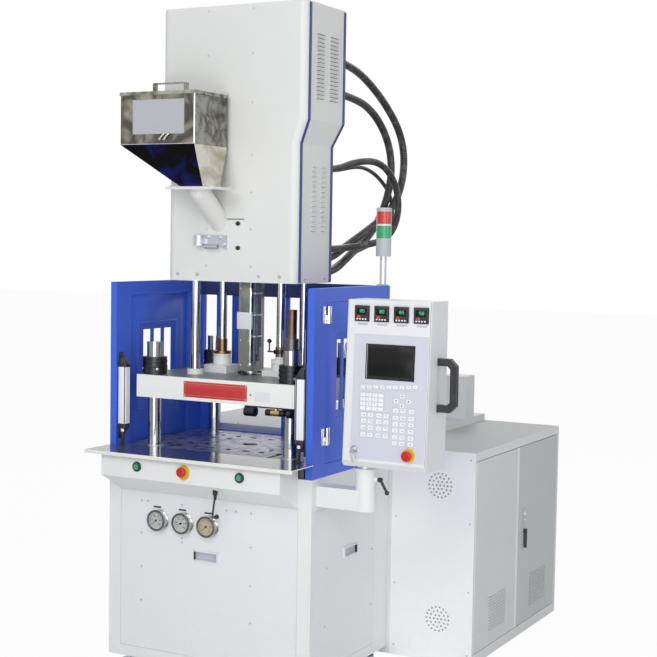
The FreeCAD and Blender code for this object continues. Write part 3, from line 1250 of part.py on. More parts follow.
def panel_arm():
    beam = box(("base_w / 2", "column_x"), ("column_y - beam_d / 2", "column_y + beam_d / 2"),
               ("beam_low", "beam_low + beam_h"))
    column = rod("z", ("column_x", "column_y", "column_low"), "column_r",
                 "column_top - column_low")
    cap = rod("z", ("column_x", "column_y", "column_top - cap_h"), "cap_r", "cap_h")
    bore = rod("z", ("column_x", "column_y", "column_top - swivel_depth - 4"),
               "swivel_r + swivel_fit", "swivel_depth + 6")
    boss = rod("x", ("column_x + column_r - 6", "column_y", "lever_z"), "lever_boss_r",
               "lever_boss + 6")
    hole = rod("x", ("column_x + column_r - 4", "column_y", "lever_z"),
               "lever_shaft_r + lever_fit", "lever_boss + 6")
    return node(cut(fuse(beam, column, cap, boss), bore, hole), "panel_arm")


def clamp_lever():
    x = "column_x + column_r + lever_boss"
    shaft = rod("x", ("column_x + column_r - 2", "column_y", "lever_z"), "lever_shaft_r",
                "lever_boss + 4")
    hub = rod("x", (f"{x} + 0.4", "column_y", "lever_z"), "lever_hub_r", "lever_hub")
    arm = fresh("Part::Cylinder", "arm")
    arm.Placement = FreeCAD.Placement(V(), FreeCAD.Rotation(V(0, 1, 0), 149))
    arm.setExpression("Radius", ex("lever_r"))
    arm.setExpression("Height", ex("lever_l"))
    arm.setExpression("Placement.Base.x", ex(f"{x} + 9"))
    arm.setExpression("Placement.Base.y", ex("column_y"))
    arm.setExpression("Placement.Base.z", ex("lever_z"))
    ball = fresh("Part::Sphere", "ball")
    ball.setExpression("Radius", "9 mm")
    ball.setExpression("Placement.Base.x", ex(f"{x} + 9 + lever_l * 0.515"))
    ball.setExpression("Placement.Base.y", ex("column_y"))
    ball.setExpression("Placement.Base.z", ex("lever_z - lever_l * 0.857"))
    return node(fuse(shaft, hub, arm, ball), "clamp_lever")


def control_panel():
    piece = Piece()
    rear, low, top = "panel_y_rear", "panel_low_z", "panel_top_z"
    piece.pad("yz", "panel_left", "panel_right",
              polygon((rear, low), (rear, top), ("panel_y_top", top),
                      ("panel_y_low", f"{low} + panel_chin"), (f"panel_y_low + panel_chin", low)))

    def corner(edge):
        box_ = edge.BoundBox
        return box_.ZLength > 500 and box_.YMax < 60

    piece.round_edges("panel_round", corner)
    wall = "panel_wall"
    piece.pocket("yz", f"panel_left + {wall}", f"panel_right - {wall}",
                 polygon((f"{rear} + 1", f"{low} + {wall}"), (f"{rear} + 1", f"{top} - {wall}"),
                         (f"panel_y_top + {wall}", f"{top} - {wall}"),
                         (f"panel_y_low + {wall}", f"{low} + panel_chin"),
                         (f"panel_y_low + panel_chin + {wall}", f"{low} + {wall}")))
    # seats of the four controllers
    seats = [rect(f"reg_first_x + {i} * reg_pitch - reg_side / 2",
                  f"reg_first_x + {i} * reg_pitch + reg_side / 2",
                  "reg_z - reg_side / 2", "reg_z + reg_side / 2") for i in range(4)]
    piece.pocket("xz", "-60", f"{front_at('reg_z')} + 14", *seats)
    shell = piece.body
    back = box((f"panel_left + {wall}", f"panel_right - {wall}"), (f"{rear} - 2", rear),
               (f"{low} + {wall}", f"{top} - {wall}"))
    # swivel boss under the housing
    boss = rod("z", ("column_x", "column_y", "column_top + swivel_gap"), "cap_r - 3",
               f"{low} - column_top - swivel_gap")
    pin = rod("z", ("column_x", "column_y", "column_top - swivel_depth"), "swivel_r",
              f"{low} - column_top + swivel_depth")
    # housings of the stop and the key switch
    stop_y, key_y = front_at("panel_stop_z"), front_at("key_z")
    stop_cup = rod("y", ("panel_stop_x", f"{stop_y} - 1", "panel_stop_z"), "bezel_r", "40")
    stop_ring = rod("y", ("panel_stop_x", f"{stop_y} - stop_ring_t - face_t", "panel_stop_z"),
                    "stop_ring_r", "stop_ring_t + 6")
    stop_hole = rod("y", ("panel_stop_x", f"{stop_y} - 30", "panel_stop_z"),
                    "stop_stem_r + button_fit", "58")
    key_cup = rod("y", ("key_x", f"{key_y} - face_t - 3", "key_z"), "key_body_r", "34")
    key_hole = rod("y", ("key_x", f"{key_y} - 30", "key_z"), "key_r + key_fit", "48")
    housing = cut(fuse(shell, back, stop_cup, stop_ring, key_cup), stop_hole, key_hole)
    return node(group(housing, fuse(boss, pin)), "control_panel")


def panel_face():
    """Membrane plate on the leaning front, with a window for the screen."""
    piece = Piece()
    low, top = "face_low", "face_top"
    y_low, y_top = front_at(low), front_at(top)
    piece.pad("yz", "face_left", "face_right",
              polygon((y_low, low), (y_top, top), (f"{y_top} - face_t", top),
                      (f"{y_low} - face_t", low)))
    piece.pocket("xz", "-80", "60",
                 rect("screen_left", "screen_right", "screen_low", "screen_top"),
                 circle("panel_stop_x", "panel_stop_z", "stop_ring_r"),
                 circle("key_x", "key_z", "key_body_r"))
    return piece.done("panel_face")


def temperature_controllers():
    parts = []
    y = front_at("reg_z")
    half = "reg_side / 2"
    for i in range(4):
        x = f"(reg_first_x + {i} * reg_pitch)"
        bezel = box((f"{x} - {half} - 2", f"{x} + {half} + 2"), (f"{y} - reg_proud", f"{y} - 1.6"),
                    (f"reg_z - {half} - 2", f"reg_z + {half} + 2"))
        case = box((f"{x} - {half}", f"{x} + {half}"), (f"{y} - 3", f"{y} + reg_depth"),
                   (f"reg_z - {half}", f"reg_z + {half}"))
        parts.append(fuse(bezel, case))
    return node(group(*parts), "temperature_controllers")


def panel_handle():
    piece = Piece()
    near, far = "panel_right", "(panel_right + handle_out)"
    top, low, wide, bevel = "handle_top", "handle_low", "handle_w", "handle_bevel"
    piece.pad("xz", "handle_y", "handle_y + handle_t", polygon(
        (near, f"{top} + {wide} / 2"), (f"{far} - {bevel}", f"{top} + {wide} / 2"),
        (far, f"{top} + {wide} / 2 - {bevel}"), (far, f"{low} - {wide} / 2 + {bevel}"),
        (f"{far} - {bevel}", f"{low} - {wide} / 2"), (near, f"{low} - {wide} / 2"),
        (near, f"{low} + {wide} / 2"), (f"{far} - {wide} - 8", f"{low} + {wide} / 2"),
        (f"{far} - {wide} + 3", f"{low} + {wide} / 2 + 11"),
        (f"{far} - {wide} + 3", f"{top} - {wide} / 2 - 11"),
        (f"{far} - {wide} - 8", f"{top} - {wide} / 2"), (near, f"{top} - {wide} / 2")))
    return piece.done("panel_handle")


def key_switch():
    y = front_at("key_z")
    barrel_ = rod("y", ("key_x", f"{y} - face_t - 3 - key_proud", "key_z"), "key_r",
                  "key_proud + 18")
    slot = box(("key_x - 1.2", "key_x + 1.2"),
               (f"{y} - face_t - 4 - key_proud", f"{y} - face_t - key_proud"),
               ("key_z - 6", "key_z + 6"))
    return node(cut(barrel_, slot), "key_switch")


# ------------------------------------------------------------------ rear cabinet
def rear_cabinet():
    piece = Piece()
    wall = "cab_wall"
    piece.pad("xy", "plinth_low", "cab_h", rect("-cab_left", "cab_right", "cab_front", "cab_rear"))
    piece.pocket("xy", f"plinth_top + {wall}", f"cab_h - {wall}",
                 rect(f"-cab_left + {wall}", f"cab_right - {wall}",
                      f"cab_front + {wall}", f"cab_rear - {wall}"))
    piece.pocket("xy", "plinth_low - 1", "plinth_top",
                 rect("-cab_left + plinth_in", "cab_right - plinth_in",
                      "cab_front + plinth_in", "cab_rear - plinth_in"))
    piece.pocket("yz", f"cab_right - {wall} - 1", "cab_right + 1",
                 rect("leaf_front", "leaf_rear", "leaf_low", "leaf_top"))
    # two round groups of air holes in the front sheet
    holes = []
    for z in ("vent_low", "vent_top"):
        holes.append(circle("vent_x", z, "vent_hole_r"))
        for ring, count in ((1, 6), (2, 12), (3, 18)):
            for i in range(count):
                angle = 360 * i / count
                holes.append(circle(f"vent_x + {ring} * vent_ring * cos({angle})",
                                    f"{z} + {ring} * vent_ring * sin({angle})", "vent_hole_r"))
    piece.pocket("xz", "cab_front - 1", f"cab_front + {wall} + 1", *holes)
    pins = []
    for y in ("leaf_front + leaf_gap + leaf_pin_edge", "leaf_rear - leaf_gap - leaf_pin_edge"):
        pins.append(rod("z", ("cab_right - leaf_pin_in", y, "plinth_top + 1"), "leaf_pin_r",
                        "leaf_low - plinth_top + 14"))
        pins.append(rod("z", ("cab_right - leaf_pin_in", y, "leaf_top - 15"), "leaf_pin_r", "30"))
    return node(fuse(piece.body, *pins), "rear_cabinet")


def cabinet_door(label, front, rear, hood_front, hood_rear, pin_y):
    piece = Piece()
    low, top = "leaf_low + leaf_gap", "leaf_top - leaf_gap"
    outer = "cab_right"
    inner = "cab_right - leaf_t"
    piece.pad("yz", inner, outer, rect(front, rear, low, top))
    piece.pocket("yz", f"{inner} - 1", f"{outer} - leaf_skin",
                 rect(f"{front} + leaf_edge", f"{rear} - leaf_edge",
                      f"{low} + leaf_edge", f"{top} - leaf_edge"))
    piece.pocket("xy", f"{low} - 1", f"{low} + 14",
                 circle("cab_right - leaf_pin_in", pin_y, "leaf_pin_r + pin_fit"))
    piece.pocket("xy", f"{top} - 14", f"{top} + 1",
                 circle("cab_right - leaf_pin_in", pin_y, "leaf_pin_r + pin_fit"))
    if label == "cabinet_door_rear":
        piece.pocket("yz", f"{outer} - leaf_skin - 1", f"{outer} + 1",
                     circle("knob_y", "knob_z", "knob_shaft_r + pin_fit"))
    hood = piece.pad("xz", hood_front, hood_rear,
                     polygon((f"{outer} - 1", "hood_low"), (f"{outer} + hood_out", "hood_low"),
                             (f"{outer} + hood_out", "hood_low + 1.5"),
                             (f"{outer} - 1", "hood_low + hood_h")))
    slot = piece.pocket("xz", f"{hood_front} + 1.5", f"{hood_rear} - 1.5",
                        polygon((f"{outer} - leaf_skin - 1", "hood_low - 1"),
                                (f"{outer} + hood_out - 1.4", "hood_low - 1"),
                                (f"{outer} + hood_out - 1.4", "hood_low + 1"),
                                (f"{outer} - leaf_skin - 1", "hood_low + hood_h")))
    piece.repeat([hood, slot], "z", "hood_pitch", "hood_count")
    return piece.done(label)


def door_handle():
    x = "cab_right"
    shaft = rod("x", (f"{x} - 12", "knob_y", "knob_z"), "knob_shaft_r", "13")
    hub = rod("x", (f"{x} + 0.5", "knob_y", "knob_z"), "knob_r", "knob_off + 8")
    bar = box((f"{x} + knob_off", f"{x} + knob_off + 10"),
              ("knob_y - knob_w / 2", "knob_y + knob_w / 2"), ("knob_z - knob_l", "knob_z"))
    return node(fuse(shaft, hub, bar), "door_handle")


def cabinet_lid():
    piece = Piece()
    sheet_t = "lid_sheet"
    piece.pad("xy", "cab_h", "cab_h + lid_rise",
              rect("-cab_left", "lid_right", "lid_front", "lid_rear"))
    piece.pocket("xy", "cab_h - 1", f"cab_h + lid_rise - {sheet_t}",
                 rect(f"-cab_left + {sheet_t}", f"lid_right - {sheet_t}",
                      f"lid_front + {sheet_t}", f"lid_rear - {sheet_t}"))
    jbox = box(("jbox_x", "jbox_x + jbox_w"), ("jbox_front", "jbox_front + jbox_d"),
               ("cab_h + lid_rise", "cab_h + lid_rise + jbox_h"))
    inside = box(("jbox_x + 2", "jbox_x + jbox_w - 2"),
                 ("jbox_front + 2", "jbox_front + jbox_d - 2"),
                 ("cab_h + lid_rise - 1", "cab_h + lid_rise + jbox_h - 2"))
    return node(group(piece.body, cut(jbox, inside)), "cabinet_lid")


def switchgear():
    plate = box(("gear_x", "gear_x + gear_t"), ("gear_front", "gear_rear"),
                ("gear_low", "gear_top"))
    parts = [plate]
    for y in ("gear_front + 60", "gear_rear - 100"):
        parts.append(box(("gear_x - 30", "gear_x + 1"), (y, f"{y} + 40"),
                         ("plinth_top + cab_wall", "gear_low + 60")))
    face = "gear_x + gear_t - 1"
    for i in range(6):
        y = f"gear_front + 60 + {i} * 120"
        parts.append(box((face, "gear_x + gear_t + 82"), (y, f"{y} + 72"),
                         ("gear_top - 190", "gear_top - 90")))
    for i in range(4):
        y = f"gear_front + 60 + {i} * 110"
        parts.append(box((face, "gear_x + gear_t + 74"), (y, f"{y} + 62"),
                         ("gear_top - 360", "gear_top - 270")))
    parts.append(box((face, "gear_x + gear_t + 120"), ("gear_front + 540", "gear_front + 780"),
                     ("gear_low + 110", "gear_low + 390")))
    parts.append(box((face, "gear_x + gear_t + 96"), ("gear_front + 60", "gear_front + 400"),
                     ("gear_low + 60", "gear_low + 200")))
    return node(fuse(*parts), "switchgear")


def pump_motor():
    z = "(plinth_top + cab_wall + motor_up)"
    y = "motor_y"
    motor = rod("x", ("motor_x", y, z), "motor_r", "motor_l")
    bell = rod("x", ("motor_x + motor_l - 2", y, z), "motor_r - 30", "92")
    pump = rod("x", ("motor_x + motor_l + 88", y, z), "pump_r", "pump_l")
    feet = [box((x, f"{x} + 46"), (f"{y} - 90", f"{y} + 90"), ("plinth_top + cab_wall", f"{z} - 60"))
            for x in ("motor_x + 30", "motor_x + motor_l - 76")]
    fan = rod("x", ("motor_x - 40", y, z), "motor_r - 6", "42")
    box_ = box(("motor_x + 110", "motor_x + 210"), (f"{y} - 50", f"{y} + 50"),
               (f"{z} + motor_r - 14", f"{z} + motor_r + 60"))
    return node(fuse(motor, bell, pump, fan, box_, *feet), "pump_motor")


# ------------------------------------------------------------------ all sub-parts
base_frame()
front_panel()
side_panels()
levelling_feet()
gauge_cases()
box_shell, box_rings = button_box()
boss = rod("z", ("105", "-100", "base_h - 76"), "gland_r", "24")
node(fuse(box_shell, *box_rings, boss), "button_box")
start_button("-start_at_x", "start_button_left")
start_button("start_at_x", "start_button_right")
stop_button(("front_stop_x", "-box_out", "start_height"), "front_estop")
tube(BUTTON_CABLE, BASE_TOP, "cable_r", "button_cable")
work_tray()
bolster_plate()
tie_bar_bushes()
tie_bars()
tie_bar_nuts()
moving_platen()
crosshead()
clamp_cylinder()
carriage_rods()
rod_flanges()
platen_fittings()

tower_cover()
node(group(*trim_strips()), "tower_trim")
carriage_plate()
barrel()
injection_screw()
screw_drive()
barrel_shroud()
hopper_body()
hopper_lid()
feed_chute()
chute_clamp()
tube(HOSE_UPPER, TOWER_REAR, "hose_r", "hose_upper")
tube(HOSE_MIDDLE, TOWER_REAR, "hose_r", "hose_middle")
tube(HOSE_LOWER, TOWER_REAR, "small_hose_r", "hose_lower")
tube(HOSE_BRANCH, TOWER_REAR, "branch_r", "hose_branch")
hose_fittings()

side_guard("-")
side_guard("")
guard_door("-")
guard_door("")
guard_rear()
light_curtains()
stack_light()

panel_arm()
clamp_lever()
control_panel()
panel_face()
temperature_controllers()
panel_handle()
stop_button(("panel_stop_x", f"({front_at('panel_stop_z')} - face_t)", "panel_stop_z"),
            "panel_estop")
key_switch()

rear_cabinet()
cabinet_door("cabinet_door_front", "leaf_front + leaf_gap", "leaf_split - leaf_gap / 2",
             "leaf_front + 169", "leaf_front + 372", "leaf_front + leaf_gap + leaf_pin_edge")
cabinet_door("cabinet_door_rear", "leaf_split + leaf_gap / 2", "leaf_rear - leaf_gap",
             "leaf_split + 172", "leaf_split + 391", "leaf_rear - leaf_gap - leaf_pin_edge")
door_handle()
cabinet_lid()
switchgear()
pump_motor()

doc.recompute()

for item in doc.Objects:
    if "Invalid" in item.State or "Error" in item.State:
        raise RuntimeError(f"{item.Label}: {item.State}")
os.makedirs("parts", exist_ok=True)
for item in NODES:
    shape = item.Shape
    if shape.isNull() or not shape.isValid() or not shape.Solids:
        raise RuntimeError(f"{item.Label} has no valid solid")
    shape.exportStep(f"parts/{item.Label}.step")
    span = shape.BoundBox
    print(f"{item.Label:26s} {len(shape.Solids)} solids",
          [round(v, 1) for v in (span.XMin, span.XMax, span.YMin, span.YMax, span.ZMin, span.ZMax)],
          round(shape.Volume / 1000))
print(len(NODES), "sub-parts")
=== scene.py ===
"""Looks of a vertical injection moulding machine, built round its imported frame, in metres."""

import math
from contextlib import contextmanager

import bpy
from mathutils import Matrix, Vector


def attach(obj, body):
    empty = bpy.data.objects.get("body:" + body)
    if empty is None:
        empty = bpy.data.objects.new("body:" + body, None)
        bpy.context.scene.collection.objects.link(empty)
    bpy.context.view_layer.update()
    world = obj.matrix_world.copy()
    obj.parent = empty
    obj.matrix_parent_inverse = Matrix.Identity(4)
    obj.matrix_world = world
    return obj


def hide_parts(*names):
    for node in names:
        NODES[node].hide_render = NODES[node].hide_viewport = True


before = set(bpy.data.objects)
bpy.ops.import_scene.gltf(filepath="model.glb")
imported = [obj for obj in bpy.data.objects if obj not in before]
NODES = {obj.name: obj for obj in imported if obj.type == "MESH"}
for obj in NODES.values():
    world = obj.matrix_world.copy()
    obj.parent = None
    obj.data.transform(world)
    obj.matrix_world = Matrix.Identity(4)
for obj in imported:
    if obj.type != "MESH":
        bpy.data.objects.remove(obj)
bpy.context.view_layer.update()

MM = 0.001
# the frame's origin, then faces and centre lines, in the machine's own millimetres
ORIGIN_X, ORIGIN_Y = 228.5, 788.5
SIDE_X = 483
TIE_CORNERS = [(x, y) for x in (-328, 328) for y in (100, 562)]
ROD_X, ROD_Y = 143, 331
TABLE_TOP = 929
TOWER_FRONT, SHROUD_FRONT, PLATEN_FRONT, HOPPER_FRONT = 156, 279, 39, -102
BOX_FRONT, BUTTON_Z, START_X, STOP_X = -140, 876, 242, -17
LEAF_X, CATCH_Y = 882, 1282
# the panel's leaning face: its foot, and how far back it goes over its height
PANEL_FOOT, LEAN_BACK, LEAN_TALL = 965, 32, 610
# the least share of its normal along an axis with which a face counts as facing that way
FLAT = 0.9
# the world's light, and how much of the white floor the camera sees as glowing
WORLD_FILL, FLOOR_GLOW = 0.40, 0.955


def spot(x, y, z):
    """A place given from the clamp centre line and the base's front face, in millimetres."""
    return Vector(((x - ORIGIN_X) / 1000, (y - ORIGIN_Y) / 1000, z / 1000))


def turned(axis, degrees):
    return Matrix.Rotation(math.radians(degrees), 4, axis)


def shift(x, y, z):
    return Matrix.Translation((x * MM, y * MM, z * MM))


FRONT = Matrix.Identity(4)
RIGHT, LEFT, BACK = turned("Z", 90), turned("Z", -90), turned("Z", 180)
TOP, UNDER, LEAN = turned("X", -90), turned("X", 90), turned("X", -3.003)
SIDES = ((1, "right", RIGHT), (-1, "left", LEFT))


def at(x, y, z, facing=FRONT):
    """Where a piece modelled facing the front goes, with what it faces there."""
    return Matrix.Translation(spot(x, y, z)) @ facing


# ------------------------------------------------------------------ shader nodes
def feed(tree, socket, value):
    """Links the socket to another one, or sets its number, vector or colour."""
    if isinstance(value, bpy.types.NodeSocket):
        tree.links.new(value, socket)
    elif socket.type == "RGBA" and len(value) == 3:
        socket.default_value = (*value, 1)
    else:
        socket.default_value = value


def node(tree, kind, inputs=None, **settings):
    """A shader node with its settings; inputs are values or the sockets of other nodes."""
    made = tree.nodes.new("ShaderNode" + kind)
    for key, value in settings.items():
        setattr(made, key, value)
    for key, value in (inputs or {}).items():
        feed(tree, made.inputs[key], value)
    return made


def math_node(tree, kind, a, b, clamp=False):
    return node(tree, "Math", {0: a, 1: b}, operation=kind, use_clamp=clamp).outputs[0]


def times(tree, a, b, clamp=False):
    return math_node(tree, "MULTIPLY", a, b, clamp)


def plus(tree, a, b, clamp=False):
    return math_node(tree, "ADD", a, b, clamp)


def vector_node(tree, kind, a, b=None):
    inputs = {0: a}
    if b is not None:
        inputs["Scale" if kind == "SCALE" else 1] = b
    made = node(tree, "VectorMath", inputs, operation=kind)
    return made.outputs["Value" if kind == "LENGTH" else "Vector"]


def ramp(tree, value, low, high, to_low=0.0, to_high=1.0):
    return node(tree, "MapRange", {"Value": value, "From Min": low, "From Max": high,
                                   "To Min": to_low, "To Max": to_high}).outputs["Result"]


def noise(tree, vector, scale, detail=2.0, rough=0.5, distortion=0.0):
    return node(tree, "TexNoise", {"Vector": vector, "Scale": scale, "Detail": detail,
                                   "Roughness": rough, "Distortion": distortion}).outputs[0]


def object_place(tree):
    return node(tree, "TexCoord").outputs["Object"]


def split(tree, vector):
    return node(tree, "SeparateXYZ", {0: vector}).outputs


def blend_colour(tree, factor, one, two):
    return node(tree, "Mix", {0: factor, 6: one, 7: two}, data_type="RGBA").outputs[2]


# ------------------------------------------------------------------ camera and light
def set_camera():
    """The photo's camera, from its turn, tilt and roll in degrees."""
    yaw, pitch, roll = 28.12, 3.645, 0.936
    data = bpy.data.cameras.new("camera")
    data.lens = 76.68
    data.sensor_width = 36
    data.clip_end = 60
    camera = bpy.data.objects.new("camera", data)
    camera.matrix_world = at(3057.0, -4701.3, 1800, turned("Z", yaw) @ turned("X", 90 - pitch)
                             @ turned("Z", roll))
    bpy.context.scene.collection.objects.link(camera)
    bpy.context.scene.camera = camera


# each softbox's place, target, size and power
SOFTBOXES = {
    "key": ((0.6, -6.0, 4.6), (0, 0, 1.3), (3.2, 2.6), 101),
    "low": ((1.3, -5.0, 1.0), (0.1, 0, 0.55), (2.4, 1.3), 32),
    "front": ((3.8, -5.2, 2.4), (0, 0, 1.0), (3.5, 2.5), 64),
    "side": ((5.4, -0.6, 2.6), (0, 0.2, 1.0), (2.6, 2.6), 30),
    "back": ((-1.0, 5.0, 4.4), (0, 0, 1.4), (3.5, 2.5), 60),
}


def softbox(name, place, target, size, power):
    data = bpy.data.lights.new(name, "AREA")
    data.shape = "RECTANGLE"
    data.size, data.size_y = size
    data.energy = power
    lamp = bpy.data.objects.new(name, data)
    lamp.location = place
    lamp.rotation_euler = (Vector(target) - Vector(place)).to_track_quat("-Z", "Y").to_euler()
    bpy.context.scene.collection.objects.link(lamp)


def set_light():
    """White all round for what is seen, through glass and in mirrors, and a weaker fill."""
    scene = bpy.context.scene
    scene.view_settings.view_transform = "Standard"
    scene.world = bpy.data.worlds.new("studio")
    scene.world.use_nodes = True
    tree = scene.world.node_tree
    tree.nodes.clear()
    ray = node(tree, "LightPath").outputs
    seen = math_node(tree, "MAXIMUM", ray["Is Camera Ray"], ray["Is Transmission Ray"])
    seen = math_node(tree, "MAXIMUM", seen, ray["Is Glossy Ray"])
    fill = node(tree, "Background", {"Color": (0.93, 0.96, 1), "Strength": WORLD_FILL})
    white = node(tree, "Background", {"Color": (1, 1, 1)})
    mix = node(tree, "MixShader", {0: seen, 1: fill.outputs[0], 2: white.outputs[0]})
    node(tree, "OutputWorld", {"Surface": mix.outputs[0]})
    for name, facts in SOFTBOXES.items():
        softbox(name, *facts)


def set_floor():
    bpy.ops.object.select_all(action="DESELECT")
    bpy.ops.mesh.primitive_plane_add(size=60, location=(0, 0, 0))
    floor = bpy.context.object
    floor.name = "floor"
    finish = bpy.data.materials.new("pale_floor")
    finish.use_nodes = True
    tree = finish.node_tree
    paint = tree.nodes["Principled BSDF"]
    feed(tree, paint.inputs["Base Color"], (0.9, 0.9, 0.9))
    feed(tree, paint.inputs["Roughness"], 0.9)
    glow = node(tree, "Emission", {"Color": (1, 1, 1)})
    seen = node(tree, "LightPath").outputs["Is Camera Ray"]
    share = times(tree, seen, FLOOR_GLOW)
    mix = node(tree, "MixShader", {0: share, 1: paint.outputs[0], 2: glow.outputs[0]})
    feed(tree, tree.nodes["Material Output"].inputs[0], mix.outputs[0])
    floor.data.materials.append(finish)


set_camera()
set_light()
set_floor()


# ------------------------------------------------------------------ shared shader groups
SOCKETS = {1: "NodeSocketFloat", 3: "NodeSocketVector", 4: "NodeSocketColor"}


def new_group(name, inputs, outputs=("Colour", "Roughness", "Height")):
    """An empty shader group with its inputs' defaults, whose length tells their kind."""
    made = bpy.data.node_groups.new(name, "ShaderNodeTree")
    for label, default in inputs.items():
        kind = SOCKETS[len(default) if isinstance(default, tuple) else 1]
        socket = made.interface.new_socket(label, in_out="INPUT", socket_type=kind)
        socket.default_value = default
    for label in outputs:
        kind = SOCKETS[4 if label == "Colour" else 1]
        made.interface.new_socket(label, in_out="OUTPUT", socket_type=kind)
    start, end = made.nodes.new("NodeGroupInput"), made.nodes.new("NodeGroupOutput")
    return made, start.outputs, end.inputs


def put_out(tree, end, *sources):
    for socket, source in zip(end, sources):
        tree.links.new(source, socket)
    return tree


def paint_group():
    """Sprayed enamel: a fine orange peel, faint cloudiness and dust that gathers low down."""
    made, start, end = new_group("sprayed_enamel", {
        "Colour": (0.8, 0.8, 0.8, 1), "Soil": (0.5, 0.48, 0.44, 1), "Peel": 420.0,
        "Cloud": 0.05, "Dust": 0.12, "Gloss": 0.35})
    place = object_place(made)
    peel = noise(made, place, start["Peel"], 1.0)
    cloud = noise(made, place, 3.2, 4.0, 0.6)
    specks = noise(made, place, 38.0, 6.0, 0.7)
    low_down = ramp(made, split(made, place)["Z"], 0.75, 0.0)
    soil = times(made, low_down, ramp(made, specks, 0.48, 0.75), True)
    soil = times(made, soil, start["Dust"], True)
    shade = times(made, math_node(made, "SUBTRACT", cloud, 0.5), start["Cloud"])
    tone = vector_node(made, "SCALE", start["Colour"], plus(made, shade, 1.0))
    colour = blend_colour(made, soil, tone, start["Soil"])
    rough = plus(made, times(made, specks, 0.14), start["Gloss"])
    rough = plus(made, rough, soil, True)
    return put_out(made, end, colour, rough, peel)


def metal_group():
    """Worked metal: fine scratches along one direction, blotches and handling marks."""
    made, start, end = new_group("worked_metal", {
        "Colour": (0.6, 0.6, 0.6, 1), "Stain": (0.3, 0.28, 0.25, 1), "Stretch": (1, 60, 60),
        "Grain": 18.0, "Blotch": 0.2, "Polish": 0.25})
    place = object_place(made)
    stretched = vector_node(made, "MULTIPLY", place, start["Stretch"])
    grain = noise(made, stretched, start["Grain"], 3.0, 0.7)
    mask = ramp(made, noise(made, place, 9.0, 5.0, 0.65), 0.5, 0.8)
    mask = times(made, mask, start["Blotch"], True)
    colour = blend_colour(made, mask, start["Colour"], start["Stain"])
    colour = vector_node(made, "SCALE", colour, ramp(made, grain, 0.3, 0.7, 0.9, 1.08))
    rough = ramp(made, grain, 0.3, 0.7, -0.06, 0.08)
    rough = plus(made, rough, start["Polish"])
    rough = plus(made, rough, times(made, mask, 0.5), True)
    return put_out(made, end, colour, rough, grain)


def plastic_group():
    """Moulded plastic: a fine spark-eroded grain and slight handling marks."""
    made, start, end = new_group("moulded_plastic", {
        "Colour": (0.1, 0.1, 0.1, 1), "Grain": 900.0, "Gloss": 0.4, "Marks": 0.12})
    place = object_place(made)
    grain = noise(made, place, start["Grain"], 2.0)
    marks = noise(made, place, 24.0, 5.0, 0.7)
    worn = times(made, ramp(made, marks, 0.5, 0.8), start["Marks"])
    colour = blend_colour(made, worn, start["Colour"], (0.55, 0.55, 0.55))
    rough = plus(made, start["Gloss"], times(made, marks, 0.16))
    return put_out(made, end, colour, rough, grain)


def sheet_group():
    """Bright sheet with a painted reflection of a dark room: wavering patches between two tones."""
    made, start, end = new_group("mirror_sheet", {
        "Dark": (0.03, 0.03, 0.03, 1), "Light": (0.3, 0.3, 0.3, 1), "Scale": 7.0, "Share": 0.5,
        "Polish": 0.14})
    place = object_place(made)
    patch = noise(made, place, start["Scale"], 3.0, distortion=1.6)
    mask = ramp(made, plus(made, patch, start["Share"]), 0.88, 1.12)
    colour = blend_colour(made, mask, start["Dark"], start["Light"])
    smear = noise(made, place, 70.0, 4.0, 0.7)
    rough = plus(made, times(made, smear, 0.1), start["Polish"])
    return put_out(made, end, colour, rough, noise(made, place, 5.0, 1.0))


def sleeve_group():
    """A spiral-wrapped hose sleeve: ridges that run round with the hose's own UV map."""
    made, start, end = new_group("wrapped_sleeve", {
        "Colour": (0.02, 0.02, 0.02, 1), "Turns": 100.0, "Gloss": 0.3, "Dirt": 0.1})
    along = split(made, node(made, "TexCoord").outputs["UV"])
    run = times(made, along["X"], start["Turns"])
    run = plus(made, run, along["Y"])
    ridge = ramp(made, math_node(made, "PINGPONG", run, 0.5), 0.06, 0.22)
    grime = noise(made, object_place(made), 26.0, 4.0, 0.65)
    scuff = times(made, ramp(made, grime, 0.5, 0.72), start["Dirt"], True)
    lit = plus(made, times(made, ridge, 0.35), 0.75)
    tone = vector_node(made, "SCALE", start["Colour"], lit)
    colour = blend_colour(made, scuff, tone, (0.32, 0.32, 0.31))
    rough = times(made, grime, 0.22)
    rough = plus(made, rough, start["Gloss"], True)
    return put_out(made, end, colour, rough, ridge)


PAINT, METAL, PLASTIC = paint_group(), metal_group(), plastic_group()
SHEET, SLEEVE = sheet_group(), sleeve_group()


def material(name, group, values, metallic=0.0, bump=0.1, depth=0.0002, **sockets):
    """A material whose colour, roughness and relief come from a shared group."""
    made = bpy.data.materials.new(name)
    made.use_nodes = True
    tree = made.node_tree
    source = node(tree, "Group", values, node_tree=group).outputs
    relief = node(tree, "Bump", {"Strength": bump, "Distance": depth, "Height": source["Height"]})
    wanted = {"Base Color": source["Colour"], "Roughness": source["Roughness"],
              "Normal": relief.outputs[0], "Metallic": metallic}
    wanted.update((label.replace("_", " "), value) for label, value in sockets.items())
    for label, value in wanted.items():
        feed(tree, tree.nodes["Principled BSDF"].inputs[label], value)
    return made


def enamel(name, colour, gloss=0.34, cloud=0.05, dust=0.12, **more):
    return material(name, PAINT, {"Colour": colour, "Gloss": gloss, "Cloud": cloud, "Dust": dust},
                    bump=0.12, **more)


def metal(name, colour, polish, stretch=(1, 1, 60), blotch=0.15, grain=18.0):
    return material(name, METAL, {"Colour": colour, "Polish": polish, "Stretch": stretch,
                                  "Blotch": blotch, "Grain": grain}, metallic=1.0, bump=0.08)


def plastic(name, colour, gloss=0.35, marks=0.06, **more):
    return material(name, PLASTIC, {"Colour": colour, "Gloss": gloss, "Marks": marks},
                    depth=0.0001, **more)


